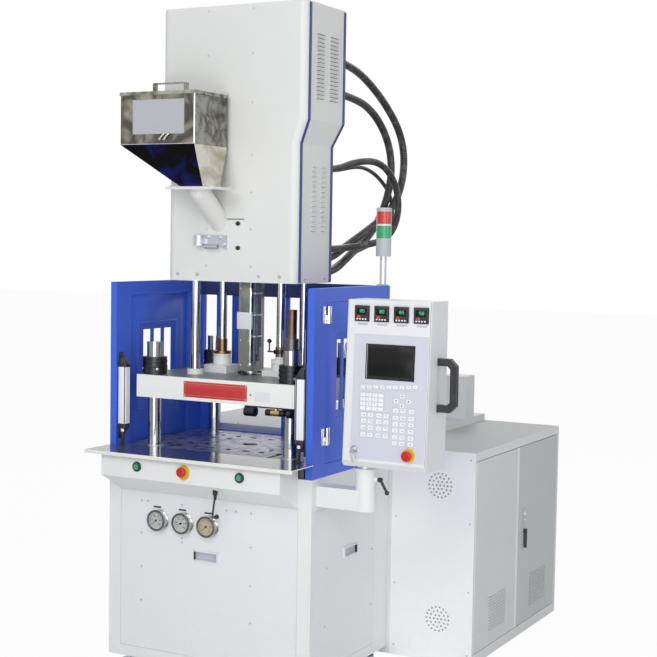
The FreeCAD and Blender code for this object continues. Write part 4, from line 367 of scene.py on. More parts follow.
# ------------------------------------------------------------------ colour zones
def box_zone_group():
    """1 inside an upright box given by its centre and half size, with a hard edge."""
    made, start, end = new_group("box_zone", {"Centre": (0, 0, 0), "Half": (1, 1, 1)}, ("Mask",))
    offset = vector_node(made, "SUBTRACT", object_place(made), start["Centre"])
    over = vector_node(made, "SUBTRACT", start["Half"], vector_node(made, "ABSOLUTE", offset))
    x, y, z = split(made, over)
    least = math_node(made, "MINIMUM", math_node(made, "MINIMUM", x, y), z)
    return put_out(made, end, math_node(made, "GREATER_THAN", least, 0.0))


def round_zone_group():
    """1 within a radius of a centre; Squash flattens an axis, which draws the ball out along it."""
    made, start, end = new_group("round_zone", {"Centre": (0, 0, 0), "Squash": (1, 1, 1),
                                                "Radius": 0.01}, ("Mask",))
    offset = vector_node(made, "SUBTRACT", object_place(made), start["Centre"])
    away = vector_node(made, "LENGTH", vector_node(made, "MULTIPLY", offset, start["Squash"]))
    return put_out(made, end, math_node(made, "LESS_THAN", away, start["Radius"]))


BOX_ZONE, ROUND_ZONE = box_zone_group(), round_zone_group()


def box_zone(low, high):
    """A zone from its corners, in the machine's millimetres."""
    low, high = spot(*low), spot(*high)
    return BOX_ZONE, {"Centre": (low + high) / 2, "Half": (high - low) / 2}


def ring_band(x, y, low, high, radius=60):
    """A zone round an upright at x, y between two heights."""
    return box_zone((x - radius, y - radius, low), (x + radius, y + radius, high))


def round_zone(centre, radius, squash=(1, 1, 1)):
    return ROUND_ZONE, {"Centre": spot(*centre), "Radius": radius / 1000, "Squash": squash}


def worked(colour, polish, blotch, *zones):
    """A zoned part in bare metal."""
    return METAL, {"Colour": colour, "Polish": polish, "Blotch": blotch}, *zones


def tinted(group, colour, gloss, *zones):
    """A zoned part in another paint or plastic."""
    return group, {"Colour": colour, "Gloss": gloss}, *zones


def zoned(base, name, *parts):
    """The finish under a new name with others in its zones: group, values and zones of each."""
    made = base.copy()
    made.name = name
    tree = made.node_tree
    shader = tree.nodes["Principled BSDF"].inputs
    for group, values, *zones in parts:
        masks = [node(tree, "Group", numbers, node_tree=kind).outputs[0]
                 for kind, numbers in zones]
        mask = masks[0]
        for other in masks[1:]:
            mask = math_node(tree, "MAXIMUM", mask, other)
        source = node(tree, "Group", values, node_tree=group).outputs
        colour = shader["Base Color"].links[0].from_socket
        feed(tree, shader["Base Color"], blend_colour(tree, mask, colour, source["Colour"]))
        metallic = 1.0 if group in (METAL, SHEET) else 0.0
        for label, after in (("Roughness", source["Roughness"]), ("Metallic", metallic)):
            socket = shader[label]
            before = socket.links[0].from_socket if socket.links else socket.default_value
            mix = node(tree, "Mix", {0: mask, 2: before, 3: after})
            feed(tree, socket, mix.outputs[0])
    return made


# ------------------------------------------------------------------ finishes
MARK_YELLOW = (0.80, 0.50, 0.02)
PLATING = (0.80, 0.80, 0.79)
EVEN, UPRIGHT = (1, 1, 1), (1, 1, 30)
white_paint = enamel("white_enamel", (0.79, 0.80, 0.79))
platen_paint = enamel("platen_enamel", (0.86, 0.865, 0.85))
tower_paint = enamel("tower_enamel", (0.77, 0.775, 0.755), gloss=0.36)
panel_paint = enamel("panel_enamel", (0.77, 0.79, 0.80), gloss=0.38)
cabinet_paint = enamel("cabinet_enamel", (0.76, 0.78, 0.775), gloss=0.4, dust=0.2)
cream_paint = enamel("chute_enamel", (0.80, 0.79, 0.755), gloss=0.3)
flange_paint = enamel("flange_enamel", (0.86, 0.87, 0.85), gloss=0.32, cloud=0.1)
blue_paint = enamel("guard_enamel", (0.043, 0.130, 0.70), gloss=0.3, cloud=0.12,
                    Coat_Weight=0.12, Coat_Roughness=0.12)
trim_paint = enamel("trim_enamel", (0.03, 0.05, 0.22), gloss=0.3)
dark_paint = enamel("dark_enamel", (0.035, 0.036, 0.04), gloss=0.32)
tray_paint = enamel("tray_enamel", (0.075, 0.078, 0.105), gloss=0.12, cloud=0.3,
                    Coat_Weight=0.5, Coat_Roughness=0.08)
drive_paint = enamel("drive_enamel", (0.13, 0.15, 0.18), gloss=0.4, dust=0.3)
plate_red = enamel("plate_red", (0.55, 0.02, 0.025), gloss=0.22, Coat_Weight=0.5,
                   Coat_Roughness=0.1)
ground_steel = metal("ground_steel", (0.55, 0.55, 0.54), 0.3, (60, 1, 1), 0.3)
zinc_steel = metal("zinc_steel", (0.60, 0.62, 0.66), 0.33, EVEN, 0.25)
case_steel = metal("case_steel", (0.62, 0.62, 0.61), 0.16, EVEN, 0.2)
shroud_steel = metal("shroud_steel", (0.30, 0.295, 0.27), 0.24, (30, 30, 1), 0.4)
stainless = metal("stainless_sheet", (0.30, 0.295, 0.27), 0.14, (30, 30, 1), 0.3)
chrome = metal("hard_chrome", (0.52, 0.525, 0.54), 0.07, UPRIGHT, 0.06)
bright_chrome = metal("bright_chrome", (0.86, 0.86, 0.85), 0.1, UPRIGHT, 0.05)
pale_chrome = metal("plated_hinge", PLATING, 0.2, (1, 1, 20), 0.1)
bezel_chrome = metal("bezel_chrome", (0.16, 0.16, 0.17), 0.08, EVEN, 0.1)
cast_iron = metal("cast_iron", (0.22, 0.22, 0.22), 0.5, EVEN, 0.4, 60.0)
black_oxide = metal("black_oxide", (0.045, 0.045, 0.05), 0.3, (1, 1, 40), 0.2)
well_dark = metal("tapped_hole", (0.03, 0.03, 0.035), 0.4, EVEN)
bronze = metal("bronze", (0.50, 0.30, 0.12), 0.3, UPRIGHT)
gilt = metal("gilt_line", (0.75, 0.55, 0.22), 0.25)
aluminium = metal("anodised_aluminium", (0.68, 0.69, 0.70), 0.34, (40, 40, 1), 0.08)
rubber = plastic("black_rubber", (0.014, 0.014, 0.015), 0.5)
black_plastic = plastic("black_plastic", (0.02, 0.02, 0.022), 0.3)
grey_plastic = plastic("grey_plastic", (0.52, 0.54, 0.57), 0.38)
red_plastic = plastic("red_plastic", (0.56, 0.015, 0.012), 0.14)
green_plastic = plastic("green_plastic", (0.01, 0.26, 0.09), 0.18)
green_lens = plastic("green_lens", (0.02, 0.40, 0.16), 0.12, 0.02, Coat_Weight=0.4)
ring_yellow = plastic("ring_yellow", MARK_YELLOW, 0.3, 0.05)
pull_grey = plastic("pull_grey", (0.52, 0.53, 0.60), 0.35, 0.05)
filter_grey = plastic("filter_grey", (0.36, 0.37, 0.37), 0.8, 0.3)
# dark brown for the painted shadows between the louvre hoods
louvre_shadow_brown = plastic("louvre_shadow_brown", (0.10, 0.08, 0.08), 0.5)
lead_blue = plastic("lead_sleeve", (0.10, 0.12, 0.18), 0.5, 0.3)
curtain_white = plastic("curtain_white", (0.90, 0.90, 0.91), 0.34, 0.04)
membrane_paint = plastic("membrane_film", (0.62, 0.63, 0.715), 0.32, 0.03)
note_paper = plastic("note_paper", (0.76, 0.76, 0.79), 0.5, 0.08)
label_white = plastic("paper_white", (0.47, 0.47, 0.515), 0.45, 0.08)
label_blue = plastic("label_blue", (0.03, 0.035, 0.10), 0.4)
key_white = plastic("key_white", (0.90, 0.90, 0.91), 0.3, 0.02)
key_grey = plastic("key_grey", (0.50, 0.51, 0.57), 0.34, 0.02)
mark_dark = plastic("mark_dark", (0.03, 0.03, 0.04), 0.4)
screen_black = plastic("screen_black", (0.012, 0.012, 0.011), 0.4, Specular_IOR_Level=0.3)
screen_glass = plastic("screen_glass", (0.006, 0.0065, 0.006), 0.16, 0.0, Specular_IOR_Level=0.22)
dial_white = plastic("dial_white", (0.74, 0.74, 0.74), 0.4, 0.02)
dial_cream = plastic("dial_cream", (0.70, 0.62, 0.42), 0.4, 0.02)
digit_red = plastic("digit_red", (0.8, 0.03, 0.02), 0.3, 0.0, Emission_Strength=0.7,
                    Emission_Color=(0.9, 0.05, 0.03))
digit_green = plastic("digit_green", (0.05, 0.45, 0.25), 0.3, 0.0, Emission_Strength=0.7,
                      Emission_Color=(0.05, 0.5, 0.3))


def glass_finish():
    """Clear pane with a faint smear in its roughness."""
    made = bpy.data.materials.new("gauge_glass")
    made.use_nodes = True
    tree = made.node_tree
    smear = noise(tree, object_place(tree), 60.0, 3.0)
    for label, value in (("Transmission Weight", 1.0), ("Metallic", 0.0), ("IOR", 1.12),
                         ("Roughness", ramp(tree, smear, 0.3, 0.8, 0.02, 0.09))):
        feed(tree, tree.nodes["Principled BSDF"].inputs[label], value)
    return made


def mirror(dark, light, scale, share, polish):
    return {"Dark": dark, "Light": light, "Scale": scale, "Share": share, "Polish": polish}


def hopper_finish():
    """Box and funnel with painted reflections of different parts of the room, side by side, each
    face in its own tones.
    """
    box = material("hopper_box_mirror", SHEET, mirror(
        (0.095, 0.093, 0.078), (0.34, 0.31, 0.26), 9.0, 0.46, 0.13),
        metallic=1.0, bump=0.25, depth=0.01)
    return zoned(
        box, "hopper_mirror",
        (SHEET, mirror((0.012, 0.011, 0.012), (0.02, 0.03, 0.22), 7.0, 0.40, 0.1),
         box_zone((-700, -103, 2003), (-9.6, 100, 2164.6))),
        (SHEET, mirror((0.06, 0.06, 0.055), (0.3, 0.3, 0.28), 7.0, 0.5, 0.14),
         box_zone((-366, -90, 2164.6), (-200, 141, 2373))),
        (SHEET, mirror((0.42, 0.38, 0.29), (0.72, 0.69, 0.62), 6.0, 0.55, 0.2),
         box_zone((-9.6, -103, 2003), (0, 141, 2164.6))),
        (SHEET, mirror((0.10, 0.09, 0.075), (0.34, 0.34, 0.32), 11.0, 0.52, 0.12),
         box_zone((-11.5, -99, 2164.6), (-8, 141, 2373))),
        # a plated strip down the box's front corner, brightened as a painted highlight on its fold,
        # and the plated gate plate below
        worked(PLATING, 0.2, 0.05, box_zone((-13.5, -103, 2166), (-8, -98, 2373)),
               box_zone((-180, -62, 1988), (60, 102, 2000.6))))


def leaf_finish(name, tone, *edges):
    """Cabinet door greyed by painted shade, with painted highlights as pale lines along its folded
    edges at the given depths.
    """
    return zoned(cabinet_paint, name + "_enamel",
        tinted(PAINT, (tone, tone * 1.03, tone * 1.015), 0.42,
               box_zone((850, 690, 60), (890, 1730, 890))),
        tinted(PAINT, (0.92, 0.92, 0.92), 0.3,
               *[box_zone((850, y - 5, 60), (883, y + 5, 890)) for y in edges]))


def hinged_blue(name, side, y, tall, *heights):
    """Guard enamel with plated hinge knuckles from each of the heights up."""
    low, high = sorted((side * 483.2, side * 502))
    return zoned(blue_paint, name + "_enamel",
                 worked(PLATING, 0.2, 0.1,
                        *[box_zone((low, y, z), (high, y + 24, z + tall)) for z in heights]))


def yellow_ring(x, y, z):
    return tinted(PLASTIC, MARK_YELLOW, 0.3, round_zone((x, y, z), 26.6, (1, 0.3, 1)))


gauge_glass = glass_finish()
SLOT_FINISH = {
    "white_paint": white_paint, "white_panel": panel_paint, "blue_paint": blue_paint,
    "machined_steel": ground_steel, "dark_tray": tray_paint, "black_steel": dark_paint,
    "chrome": chrome, "bronze": bronze, "zinc": zinc_steel, "stainless": stainless,
    "cast": cast_iron, "cream_paint": cream_paint, "aluminium": aluminium,
    "grey_plastic": grey_plastic, "black_plastic": black_plastic, "red_plastic": red_plastic,
    "green_plastic": green_plastic, "lens_plastic": red_plastic, "hose_sleeve": rubber,
    "drive_grey": drive_paint,
}
NODE_FINISH = {
    "tower_cover": tower_paint, "tower_trim": trim_paint, "cabinet_lid": cabinet_paint,
    "barrel_shroud": shroud_steel, "tie_bar_bushes": ground_steel, "panel_face": membrane_paint,
    "hopper_body": hopper_finish(),
    # the hopper lid's patches are a painted reflection
    "hopper_lid": material("lid_mirror", SHEET, mirror(
        (0.12, 0.12, 0.10), (0.42, 0.42, 0.38), 12.0, 0.52, 0.16),
        metallic=1.0, bump=0.15, depth=0.006),
    # the bolster's mottled blue and grey patches are a painted reflection on its oiled face
    "bolster_plate": material("oiled_plate_painted_reflection", SHEET, mirror(
        (0.075, 0.08, 0.15), (0.46, 0.47, 0.57), 15.0, 0.52, 0.26),
        metallic=0.55, bump=0.2, depth=0.006),
    # stepped collars on the platen: black below, bright above, a bronze end in front
    "tie_bar_nuts": zoned(black_oxide, "collar_black",
        worked((0.50, 0.51, 0.52), 0.12, 0.2,
               *[ring_band(x, y, 1301.5, 1420) for x, y in TIE_CORNERS]),
        worked((0.14, 0.085, 0.06), 0.3, 0.6, ring_band(328, 100, 1371, 1530)),
        worked((0.13, 0.125, 0.11), 0.3, 0.3, ring_band(328, 100, 1359, 1404))),
    "rod_flanges": zoned(flange_paint, "rod_flange",
        worked((0.22, 0.13, 0.085), 0.28, 0.4,
               *[ring_band(x, ROD_Y, 1308, 1375, 45) for x in (-ROD_X, ROD_X)])),
    "moving_platen": zoned(platen_paint, "platen_topped",
        worked((0.27, 0.285, 0.28), 0.4, 0.4, box_zone((-500, 0, 1228.3), (500, 700, 1230)))),
    "platen_fittings": zoned(black_oxide, "valve_black",
        worked((0.5, 0.36, 0.14), 0.3, 0.2, round_zone((290, 40, 1112), 20))),
    "stack_lenses": zoned(
        plastic("stack_lens", (0.62, 0.03, 0.03), 0.12, 0.02, Coat_Weight=0.4), "stack_lens_red",
        (PLASTIC, {"Colour": (0.02, 0.36, 0.14), "Gloss": 0.12, "Marks": 0.02},
         box_zone((400, 540, 1800), (540, 660, 1862)))),
    "stack_pole": zoned(grey_plastic, "stack_grey",
        tinted(PLASTIC, (0.75, 0.76, 0.77), 0.3, box_zone((430, 550, 1859), (530, 650, 1869)))),
    "button_box": zoned(white_paint, "button_box_enamel", yellow_ring(STOP_X, -144, BUTTON_Z),
        worked((0.6, 0.6, 0.6), 0.2, 0.2,
            *[box_zone((x - 16, -150, 860), (x + 16, -140.05, 892)) for x in (-START_X, START_X)])),
    "control_panel": zoned(panel_paint, "panel_case_enamel", yellow_ring(899, -20, 1004),
        worked((0.5, 0.5, 0.52), 0.25, 0.2,
               round_zone((674, -20, 1010), 14.5, (1, 0.3, 1)), ring_band(677, 80, 850, 939))),
    "work_tray": zoned(tray_paint, "tray_rimmed",
        tinted(PAINT, (0.80, 0.79, 0.74), 0.4, box_zone((-500, -170, 860), (500, -164.4, 931)),
               box_zone((486.6, -170, 860), (500, 0, 931)),
               box_zone((-500, -170, 860), (-486.6, 0, 931)))),
    # the cabinet's front face is painted lighter as painted light, and its top darker as painted
    # shade
    "rear_cabinet": zoned(cabinet_paint, "cabinet_shell",
        tinted(PAINT, (0.90, 0.91, 0.905), 0.38, box_zone((500, 680, 0), (890, 690.4, 920))),
        tinted(PAINT, (0.47, 0.485, 0.475), 0.46, box_zone((-590, 691, 919.4), (880, 1750, 921)))),
    # each door's grey tone is painted shade, deeper on the rear door
    "cabinet_door_front": leaf_finish("cabinet_door_front", 0.69, 706, 1195),
    "cabinet_door_rear": leaf_finish("cabinet_door_rear", 0.57, 1207),
    "guard_right": hinged_blue("guard_right", 1, 88, 38, 992, 1470),
    "guard_left": hinged_blue("guard_left", -1, 88, 38, 992, 1470),
}
for node_name, node_piece in NODES.items():
    for held in node_piece.material_slots:
        held.material = (NODE_FINISH.get(node_name)
                         or SLOT_FINISH[held.material.name.split(".")[0]])


# ------------------------------------------------------------------ modelling helpers
def only(piece):
    bpy.ops.object.select_all(action="DESELECT")
    piece.select_set(True)
    bpy.context.view_layer.objects.active = piece


@contextmanager
def editing(piece, test):
    """Edit mode with only the faces that pass the test selected."""
    only(piece)
    bpy.ops.object.mode_set(mode="EDIT")
    bpy.ops.mesh.select_mode(type="FACE")
    bpy.ops.mesh.select_all(action="DESELECT")
    bpy.ops.object.mode_set(mode="OBJECT")
    for face in piece.data.polygons:
        face.select = test(face)
    bpy.ops.object.mode_set(mode="EDIT")
    yield
    bpy.ops.object.mode_set(mode="OBJECT")


def inset(width, depth=0.0):
    bpy.ops.mesh.inset(thickness=width * MM, depth=depth * MM)


def faces_front(face):
    return face.normal.y < -FLAT


def open_ring(piece, wall, axis="y"):
    """Opens a solid plate or disc along an axis into a ring with the given wall."""
    index = "xyz".index(axis)
    with editing(piece, lambda face: abs(face.normal[index]) > FLAT):
        inset(wall)
        bpy.ops.mesh.bridge_edge_loops()


def step_front(piece, *steps):
    """Insets the front face and then pushes it back, or forward where the depth is negative."""
    near = min(face.center.y for face in piece.data.polygons) + 1e-5
    with editing(piece, lambda face: faces_front(face) and face.center.y < near):
        for width, depth in steps:
            if width:
                inset(width)
            if depth:
                bpy.ops.mesh.extrude_region_move(
                    TRANSFORM_OT_translate={"value": (0, depth * MM, 0)})


def use(piece, modifier):
    only(piece)
    bpy.ops.object.modifier_apply(modifier=modifier.name)


def soften(piece, width, segments=2, angle=40):
    made = piece.modifiers.new("soft_edge", "BEVEL")
    made.width = width * MM
    made.segments = segments
    made.limit_method = "ANGLE"
    made.angle_limit = math.radians(angle)
    made.use_clamp_overlap = True
    use(piece, made)


def settled(name, wall, axis, soft, steps):
    """Names the new piece, then opens it into a ring, rounds its edges and steps its front."""
    piece = bpy.context.object
    piece.name = name
    only(piece)
    bpy.ops.object.transform_apply(location=True, rotation=True, scale=True)
    if wall:
        open_ring(piece, wall, axis)
    if soft:
        soften(piece, *soft)
    if steps:
        step_front(piece, *steps)
    return piece


def block(name, size, centre=(0, 0, 0), soft=(), steps=(), wall=0.0, axis="y"):
    """A block in millimetres about the local origin."""
    bpy.ops.object.select_all(action="DESELECT")
    bpy.ops.mesh.primitive_cube_add(size=1, location=[v * MM for v in centre],
                                    scale=[v * MM for v in size])
    return settled(name, wall, axis, soft, steps)


def tile(name, size, soft=(), steps=(), wall=0.0):
    """A block whose back lies on the local origin."""
    return block(name, size, (0, -size[1] / 2, 0), soft, steps, wall)


def span(name, *reaches, **more):
    """A block given by its two ends along each axis."""
    return block(name, [high - low for low, high in reaches],
                 [(low + high) / 2 for low, high in reaches], **more)


TURNS = {"x": (0, math.radians(90), 0), "y": (math.radians(90), 0, 0), "z": (0, 0, 0)}


def disc(name, radius, depth, centre=(0, 0, 0), axis="y", sides=32, taper=None, soft=(),
         steps=(), wall=0.0):
    """A round bar or plate in millimetres; taper is the radius at its low or rear end."""
    bpy.ops.object.select_all(action="DESELECT")
    where = {"location": [v * MM for v in centre], "rotation": TURNS[axis]}
    if taper is None:
        bpy.ops.mesh.primitive_cylinder_add(vertices=sides, radius=radius * MM, depth=depth * MM,
                                            **where)
    else:
        bpy.ops.mesh.primitive_cone_add(vertices=sides, radius1=taper * MM, radius2=radius * MM,
                                        depth=depth * MM, **where)
    return settled(name, wall, axis, soft, steps)


def place(piece, where):
    piece.data.transform(where)
    return piece


def join(name, pieces):
    bpy.ops.object.select_all(action="DESELECT")
    for piece in pieces:
        piece.select_set(True)
    bpy.context.view_layer.objects.active = pieces[0]
    if len(pieces) > 1:
        bpy.ops.object.join()
    made = bpy.context.view_layer.objects.active
    made.name = name
    return made


def copies(model, places):
    """The model once at each place, each with its own mesh, joined into one piece."""
    made = []
    for where in places:
        twin = model.copy()
        twin.data = model.data.copy()
        bpy.context.scene.collection.objects.link(twin)
        made.append(place(twin, where))
    name = model.name
    bpy.data.objects.remove(model)
    return join(name, made)


def dress(piece, finish, body, slot, *places, stands_for=None):
    """Puts the piece in its places, and says what it looks like, rides on and stands for."""
    if places:
        piece = copies(piece, places) if len(places) > 1 else place(piece, places[0])
    only(piece)
    bpy.ops.object.shade_smooth_by_angle(angle=math.radians(35))
    piece.data.materials.clear()
    piece.data.materials.append(finish)
    if stands_for:
        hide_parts(stands_for)
    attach(piece, body)


def words(text, height, where, thick=0.3):
    """Flat figures for a dial or key, as a thin mesh facing the front."""
    bpy.ops.object.select_all(action="DESELECT")
    bpy.ops.object.text_add()
    made = bpy.context.object.data
    made.body = text
    made.size = height * MM
    made.align_x = made.align_y = "CENTER"
    made.extrude = thick * MM / 2
    made.resolution_u = 2
    bpy.ops.object.convert(target="MESH")
    return place(bpy.context.object, where @ UNDER)


def carve(piece, *cutters):
    for cutter in cutters:
        made = piece.modifiers.new("opening", "BOOLEAN")
        made.operation = "DIFFERENCE"
        made.object = cutter
        use(piece, made)
        bpy.data.objects.remove(cutter)


def screws(name, radius, height, places, body="machine", finish=zinc_steel, slot="zinc"):
    """Cap screws with a domed rim and a sunk middle."""
    model = disc(name, radius, height, (0, -height / 2, 0), sides=20,
                 soft=(min(radius, height) * 0.3, 2, 60),
                 steps=((radius * 0.28, 0), (0, height * 0.35)))
    dress(model, finish, body, slot, *places)


# ------------------------------------------------------------------ hoses and cable
# each cord's radius, length in metres, sleeve pitch, body, stiffness and route
CORDS = {
    "hose_upper": (17, 1.726, 14, "carriage", "stiff", [
        (225, 534, 2566), (225, 760, 2566), (248, 1010, 2455), (280, 1185, 2290),
        (298, 1185, 2110), (300, 1070, 1945), (275, 880, 1850), (240, 700, 1765),
        (228, 590, 1716), (228, 502, 1716)]),
    "hose_middle": (17, 1.560, 14, "carriage", "stiff", [
        (230, 534, 2425), (230, 740, 2425), (240, 945, 2385), (262, 1075, 2262),
        (275, 1100, 2110), (255, 1072, 1955), (238, 962, 1822), (240, 760, 1735),
        (230, 620, 1658), (230, 502, 1658)]),
    "hose_lower": (15, 1.261, 13, "carriage", "stiff", [
        (252, 502, 2098), (252, 600, 2098), (275, 740, 2140), (303, 898, 2149),
        (332, 990, 2083), (348, 1025, 1975), (350, 990, 1867), (338, 905, 1800),
        (305, 760, 1775), (256, 610, 1760), (256, 502, 1760)]),
    "hose_branch": (9, 1.574, 9, "carriage", "stiff", [
        (215, 502, 2092), (215, 640, 2092), (218, 860, 2128), (222, 990, 2112),
        (228, 1105, 2062), (230, 1185, 2000), (232, 1205, 1895), (226, 1130, 1815),
        (212, 1000, 1775), (198, 820, 1730), (190, 620, 1650), (190, 502, 1650)]),
    "button_cable": (4, 0.183, None, "machine", "medium", [
        (105, -100, 792), (103, -103, 762), (94, -98, 720), (75, -72, 690), (57, -40, 683),
        (57, -9, 683)]),
}


def lay_cord(name, radius, length, pitch, body, stiffness, points):
    """One open smooth line through the route's points, in a wrapped sleeve if it has a pitch."""
    finish = rubber
    if pitch:
        finish = material(name + "_sleeve", SLEEVE, {
            "Colour": (0.018, 0.018, 0.02), "Turns": length * 1000 / pitch, "Gloss": 0.2,
            "Dirt": 0.35}, bump=0.8, depth=0.0016)
    data = bpy.data.curves.new(name + "_run", "CURVE")
    data.dimensions = "3D"
    data.bevel_depth = radius * MM
    data.bevel_resolution = 6
    data.resolution_u = 14
    data.use_fill_caps = True
    line = data.splines.new("NURBS")
    line.points.add(len(points) - 1)
    for point, (x, y, z) in zip(line.points, points):
        point.co = (*spot(x, y, z), 1)
    line.order_u = 3
    line.use_endpoint_u = True
    data.materials.append(finish)
    made = bpy.data.objects.new(name + "_run", data)
    bpy.context.scene.collection.objects.link(made)
    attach(made, body)
    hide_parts(name)


def cable_boots():
    """Moulded tapers at the panel's gland and under the box, and a short sleeve in the box."""
    for boot, where in (
            (disc("cable_boot", 4.8, 24, (0, -12, 0), taper=9.5, sides=24, soft=(0.8,)),
             at(57, -9, 683)),
            (disc("cable_boot_upper", 4.8, 22, (0, -11, 0), taper=8, sides=24, soft=(0.8,)),
             at(105, -100, 792, UNDER)),
            (disc("cable_sleeve", 10, 24.4, axis="z", wall=0.8), at(105, -100, 803.8))):
        dress(boot, rubber, "machine", "hose_sleeve", where)


# ------------------------------------------------------------------ base and buttons
def panel_screws():
    front = [(-317.7, 708.7), (-287.4, 711), (-117.7, 711), (96, 711), (140, 711), (211, 711),
             (211, 574), (211, 420), (211, 268), (-317.7, 574), (-317.7, 433), (-317.7, 292),
             (-117, 574), (-117, 557)]
    screws("front_panel_screws", 4.5, 2.5, [at(x, 0, z) for x, z in front])
    screws("side_panel_screws", 5, 3,
           [at(side * SIDE_X, y, z, face) for side, _, face in SIDES
            for y, z in ((532, 502), (532, 266), (130, 498), (121, 266))])


def pull_cup(name, where):
    """A pressed trough behind a pull opening: sloping floor and two dark ends."""
    width, depth, height = 108.5, 9, 32.5
    cup = block(name, (width, depth, height), (0, depth / 2, 0))
    with editing(cup, faces_front):
        bpy.ops.mesh.delete(type="FACE")
    with editing(cup, lambda face: face.normal.y > FLAT):
        bpy.ops.transform.resize(value=(1, 1, 0.45))
        bpy.ops.transform.translate(value=(0, 0, -height * 0.16 * MM))
    sheet = cup.modifiers.new("sheet", "SOLIDIFY")
    sheet.thickness = 1.2 * MM
    sheet.offset = 1
    use(cup, sheet)
    soften(cup, 0.4, 2)
    dress(cup, pull_grey, "machine", "white_paint", where)
    ends = [block(name + "_end", (7.5, 10, height + 10), (side * (width / 2 + 1), -2.4, 0),
                  soft=(2.4, 3)) for side in (-1, 1)]
    dress(join(name + "_ends", ends), black_plastic, "machine", "black_plastic", where)


def gauge(index, x, top, shown, face):
    """Dial, scale, pointer, case, bezel and pane of one gauge; shown is the pointer's angle."""
    name = "gauge_" + str(index)
    centre = at(x + 8, -18, 639)
    first, ticks, figures, reach = -135, 30, 5, 19
    sweep = -2 * first
    dress(disc(name + "_dial", 37.6, 0.8, (0, -7.4, 0), sides=64, steps=((3, 0.2),)), face,
          "machine", "white_paint", centre)
    marks = []
    for step in range(ticks + 1):
        length, width = (6.5, 1.7) if step % (ticks // figures) == 0 else (3.6, 0.9)
        mark = block(name + "_mark", (width, 0.4, length), (0, -7.95, 30.5 - length / 2))
        marks.append(place(mark, turned("Y", first + step * sweep // ticks)))
    for step in range(figures + 1):
        turn = math.radians(first + step * sweep // figures)
        marks.append(words(str(top * step // figures), 8,
                           shift(reach * math.sin(turn), -8.0, reach * math.cos(turn))))
    dress(join(name + "_scale", marks), mark_dark, "machine", "black_plastic", centre)
    needle = block(name + "_needle", (2.6, 0.7, 34), (0, -9.2, 9))
    with editing(needle, lambda face: face.normal.z > FLAT):
        bpy.ops.transform.resize(value=(0.3, 1, 1))
    hub = disc(name + "_hub", 4.4, 2.6, (0, -9.3, 0), sides=24, soft=(0.8,))
    pointer = place(join(name + "_pointer", [needle, hub]), turned("Y", shown))
    dress(pointer, mark_dark, "machine", "black_plastic", centre)
    # a turned case on its flange, with a crimped bezel in front
    flange = place(disc(name + "_flange", 46, 4, sides=72, soft=(1.3, 3, 50)),
                   at(x + 9, -2, 637))
    case = place(disc(name + "_case", 40, 24, (0, 5.5, 0), sides=72, soft=(1.2, 3, 50)), centre)
    dress(join(name + "_case", [case, flange]), case_steel, "machine", "chrome",
          stands_for="gauge_cases")
    dress(disc(name + "_bezel", 43.6, 7, (0, -10, 0), sides=72, wall=8.6, soft=(2.6, 5, 50)),
          bezel_chrome, "machine", "chrome", centre)
    dress(disc(name + "_glass", 36, 1.4, (0, -11.4, 0), sides=48, soft=(0.5,)), gauge_glass,
          "machine", "chrome", centre)


def gauges():
    gauge(1, -236, 250, -128, dial_white)
    gauge(2, -115, 250, -104, dial_white)
    gauge(3, 6, 15, -132, dial_cream)
    dress(tile("gauge_labels", (36, 0.8, 7), (0.3, 1)), label_blue, "machine", "black_plastic",
          *[at(x, 0, 690) for x in (-240, -116, 9)])


def start_button(name, x):
    """A black ring and a crowned cap on a start button."""
    where = at(x, BOX_FRONT, BUTTON_Z)
    dress(disc(name + "_ring", 20, 7, (0, -3.5, 0), sides=48, wall=7.4, soft=(1.8, 3, 50)),
          black_plastic, "machine", "black_plastic", where)
    dress(disc(name + "_cap", 10.9, 3, (0, -10.5, 0), sides=40, soft=(1.2, 3),
               steps=((2, 0), (0, 0.6))), green_lens, name, "green_plastic", where)


def stop_head(name, x, y, z, body, ring_body, drop=0):
    """A mushroom head turned from its profile, over a yellow ring that may sit lower."""
    head = disc(name + "_head", 20, 12, (0, -22, 0), sides=64, soft=(4.2, 5, 60),
                steps=((6.5, 0), (0, 1.4)))
    neck = disc(name + "_neck", 13, 5, (0, -14.5, 0), sides=48, taper=10.2)
    shaft = disc(name + "_shaft", 9.8, 14, (0, -6, 0), sides=40)
    dress(join(name + "_mushroom", [head, neck, shaft]), red_plastic, body, "red_plastic",
          at(x, y, z), stands_for=name)
    dress(disc(name + "_ring", 27, 3, (0, -1.5, 0), sides=64, wall=13.5 - 0.7 * drop,
               soft=(1.1, 3, 60)), ring_yellow, ring_body, "white_paint", at(x, y, z - drop))


# ------------------------------------------------------------------ hopper and tower
def hopper_parts():
    dress(tile("hopper_label", (247, 0.9, 136), (0.4, 2), ((2.5, 0.12),)), label_white,
          "machine", "white_panel", at(-180.5, HOPPER_FRONT, 2274))
    clip = join("hopper_clips", [
        disc("lid_clip", 3.4, 35, (0, -4.5, 0), "z", 20, soft=(1.2, 3, 60)),
        block("lid_clip_foot", (10, 4, 9), (0, -2, -13), (1, 2))])
    dress(clip, pale_chrome, "machine", "chrome", *[
        at(x, HOPPER_FRONT, z) @ turned("Y", 46) for x, z in ((-162, 2194.5), (-140, 2193.5))])
    screws("gate_bolts", 5, 4, [at(x, y, 2000, TOP) for x in (-158, 38) for y in (-50, 88)])
    # a folded lip along the front foot of the box, where it meets the funnel
    dress(tile("hopper_fold", (356, 2.4, 3), (0.9, 3)), zinc_steel, "machine", "stainless",
          at(-187, HOPPER_FRONT, 2166.5))


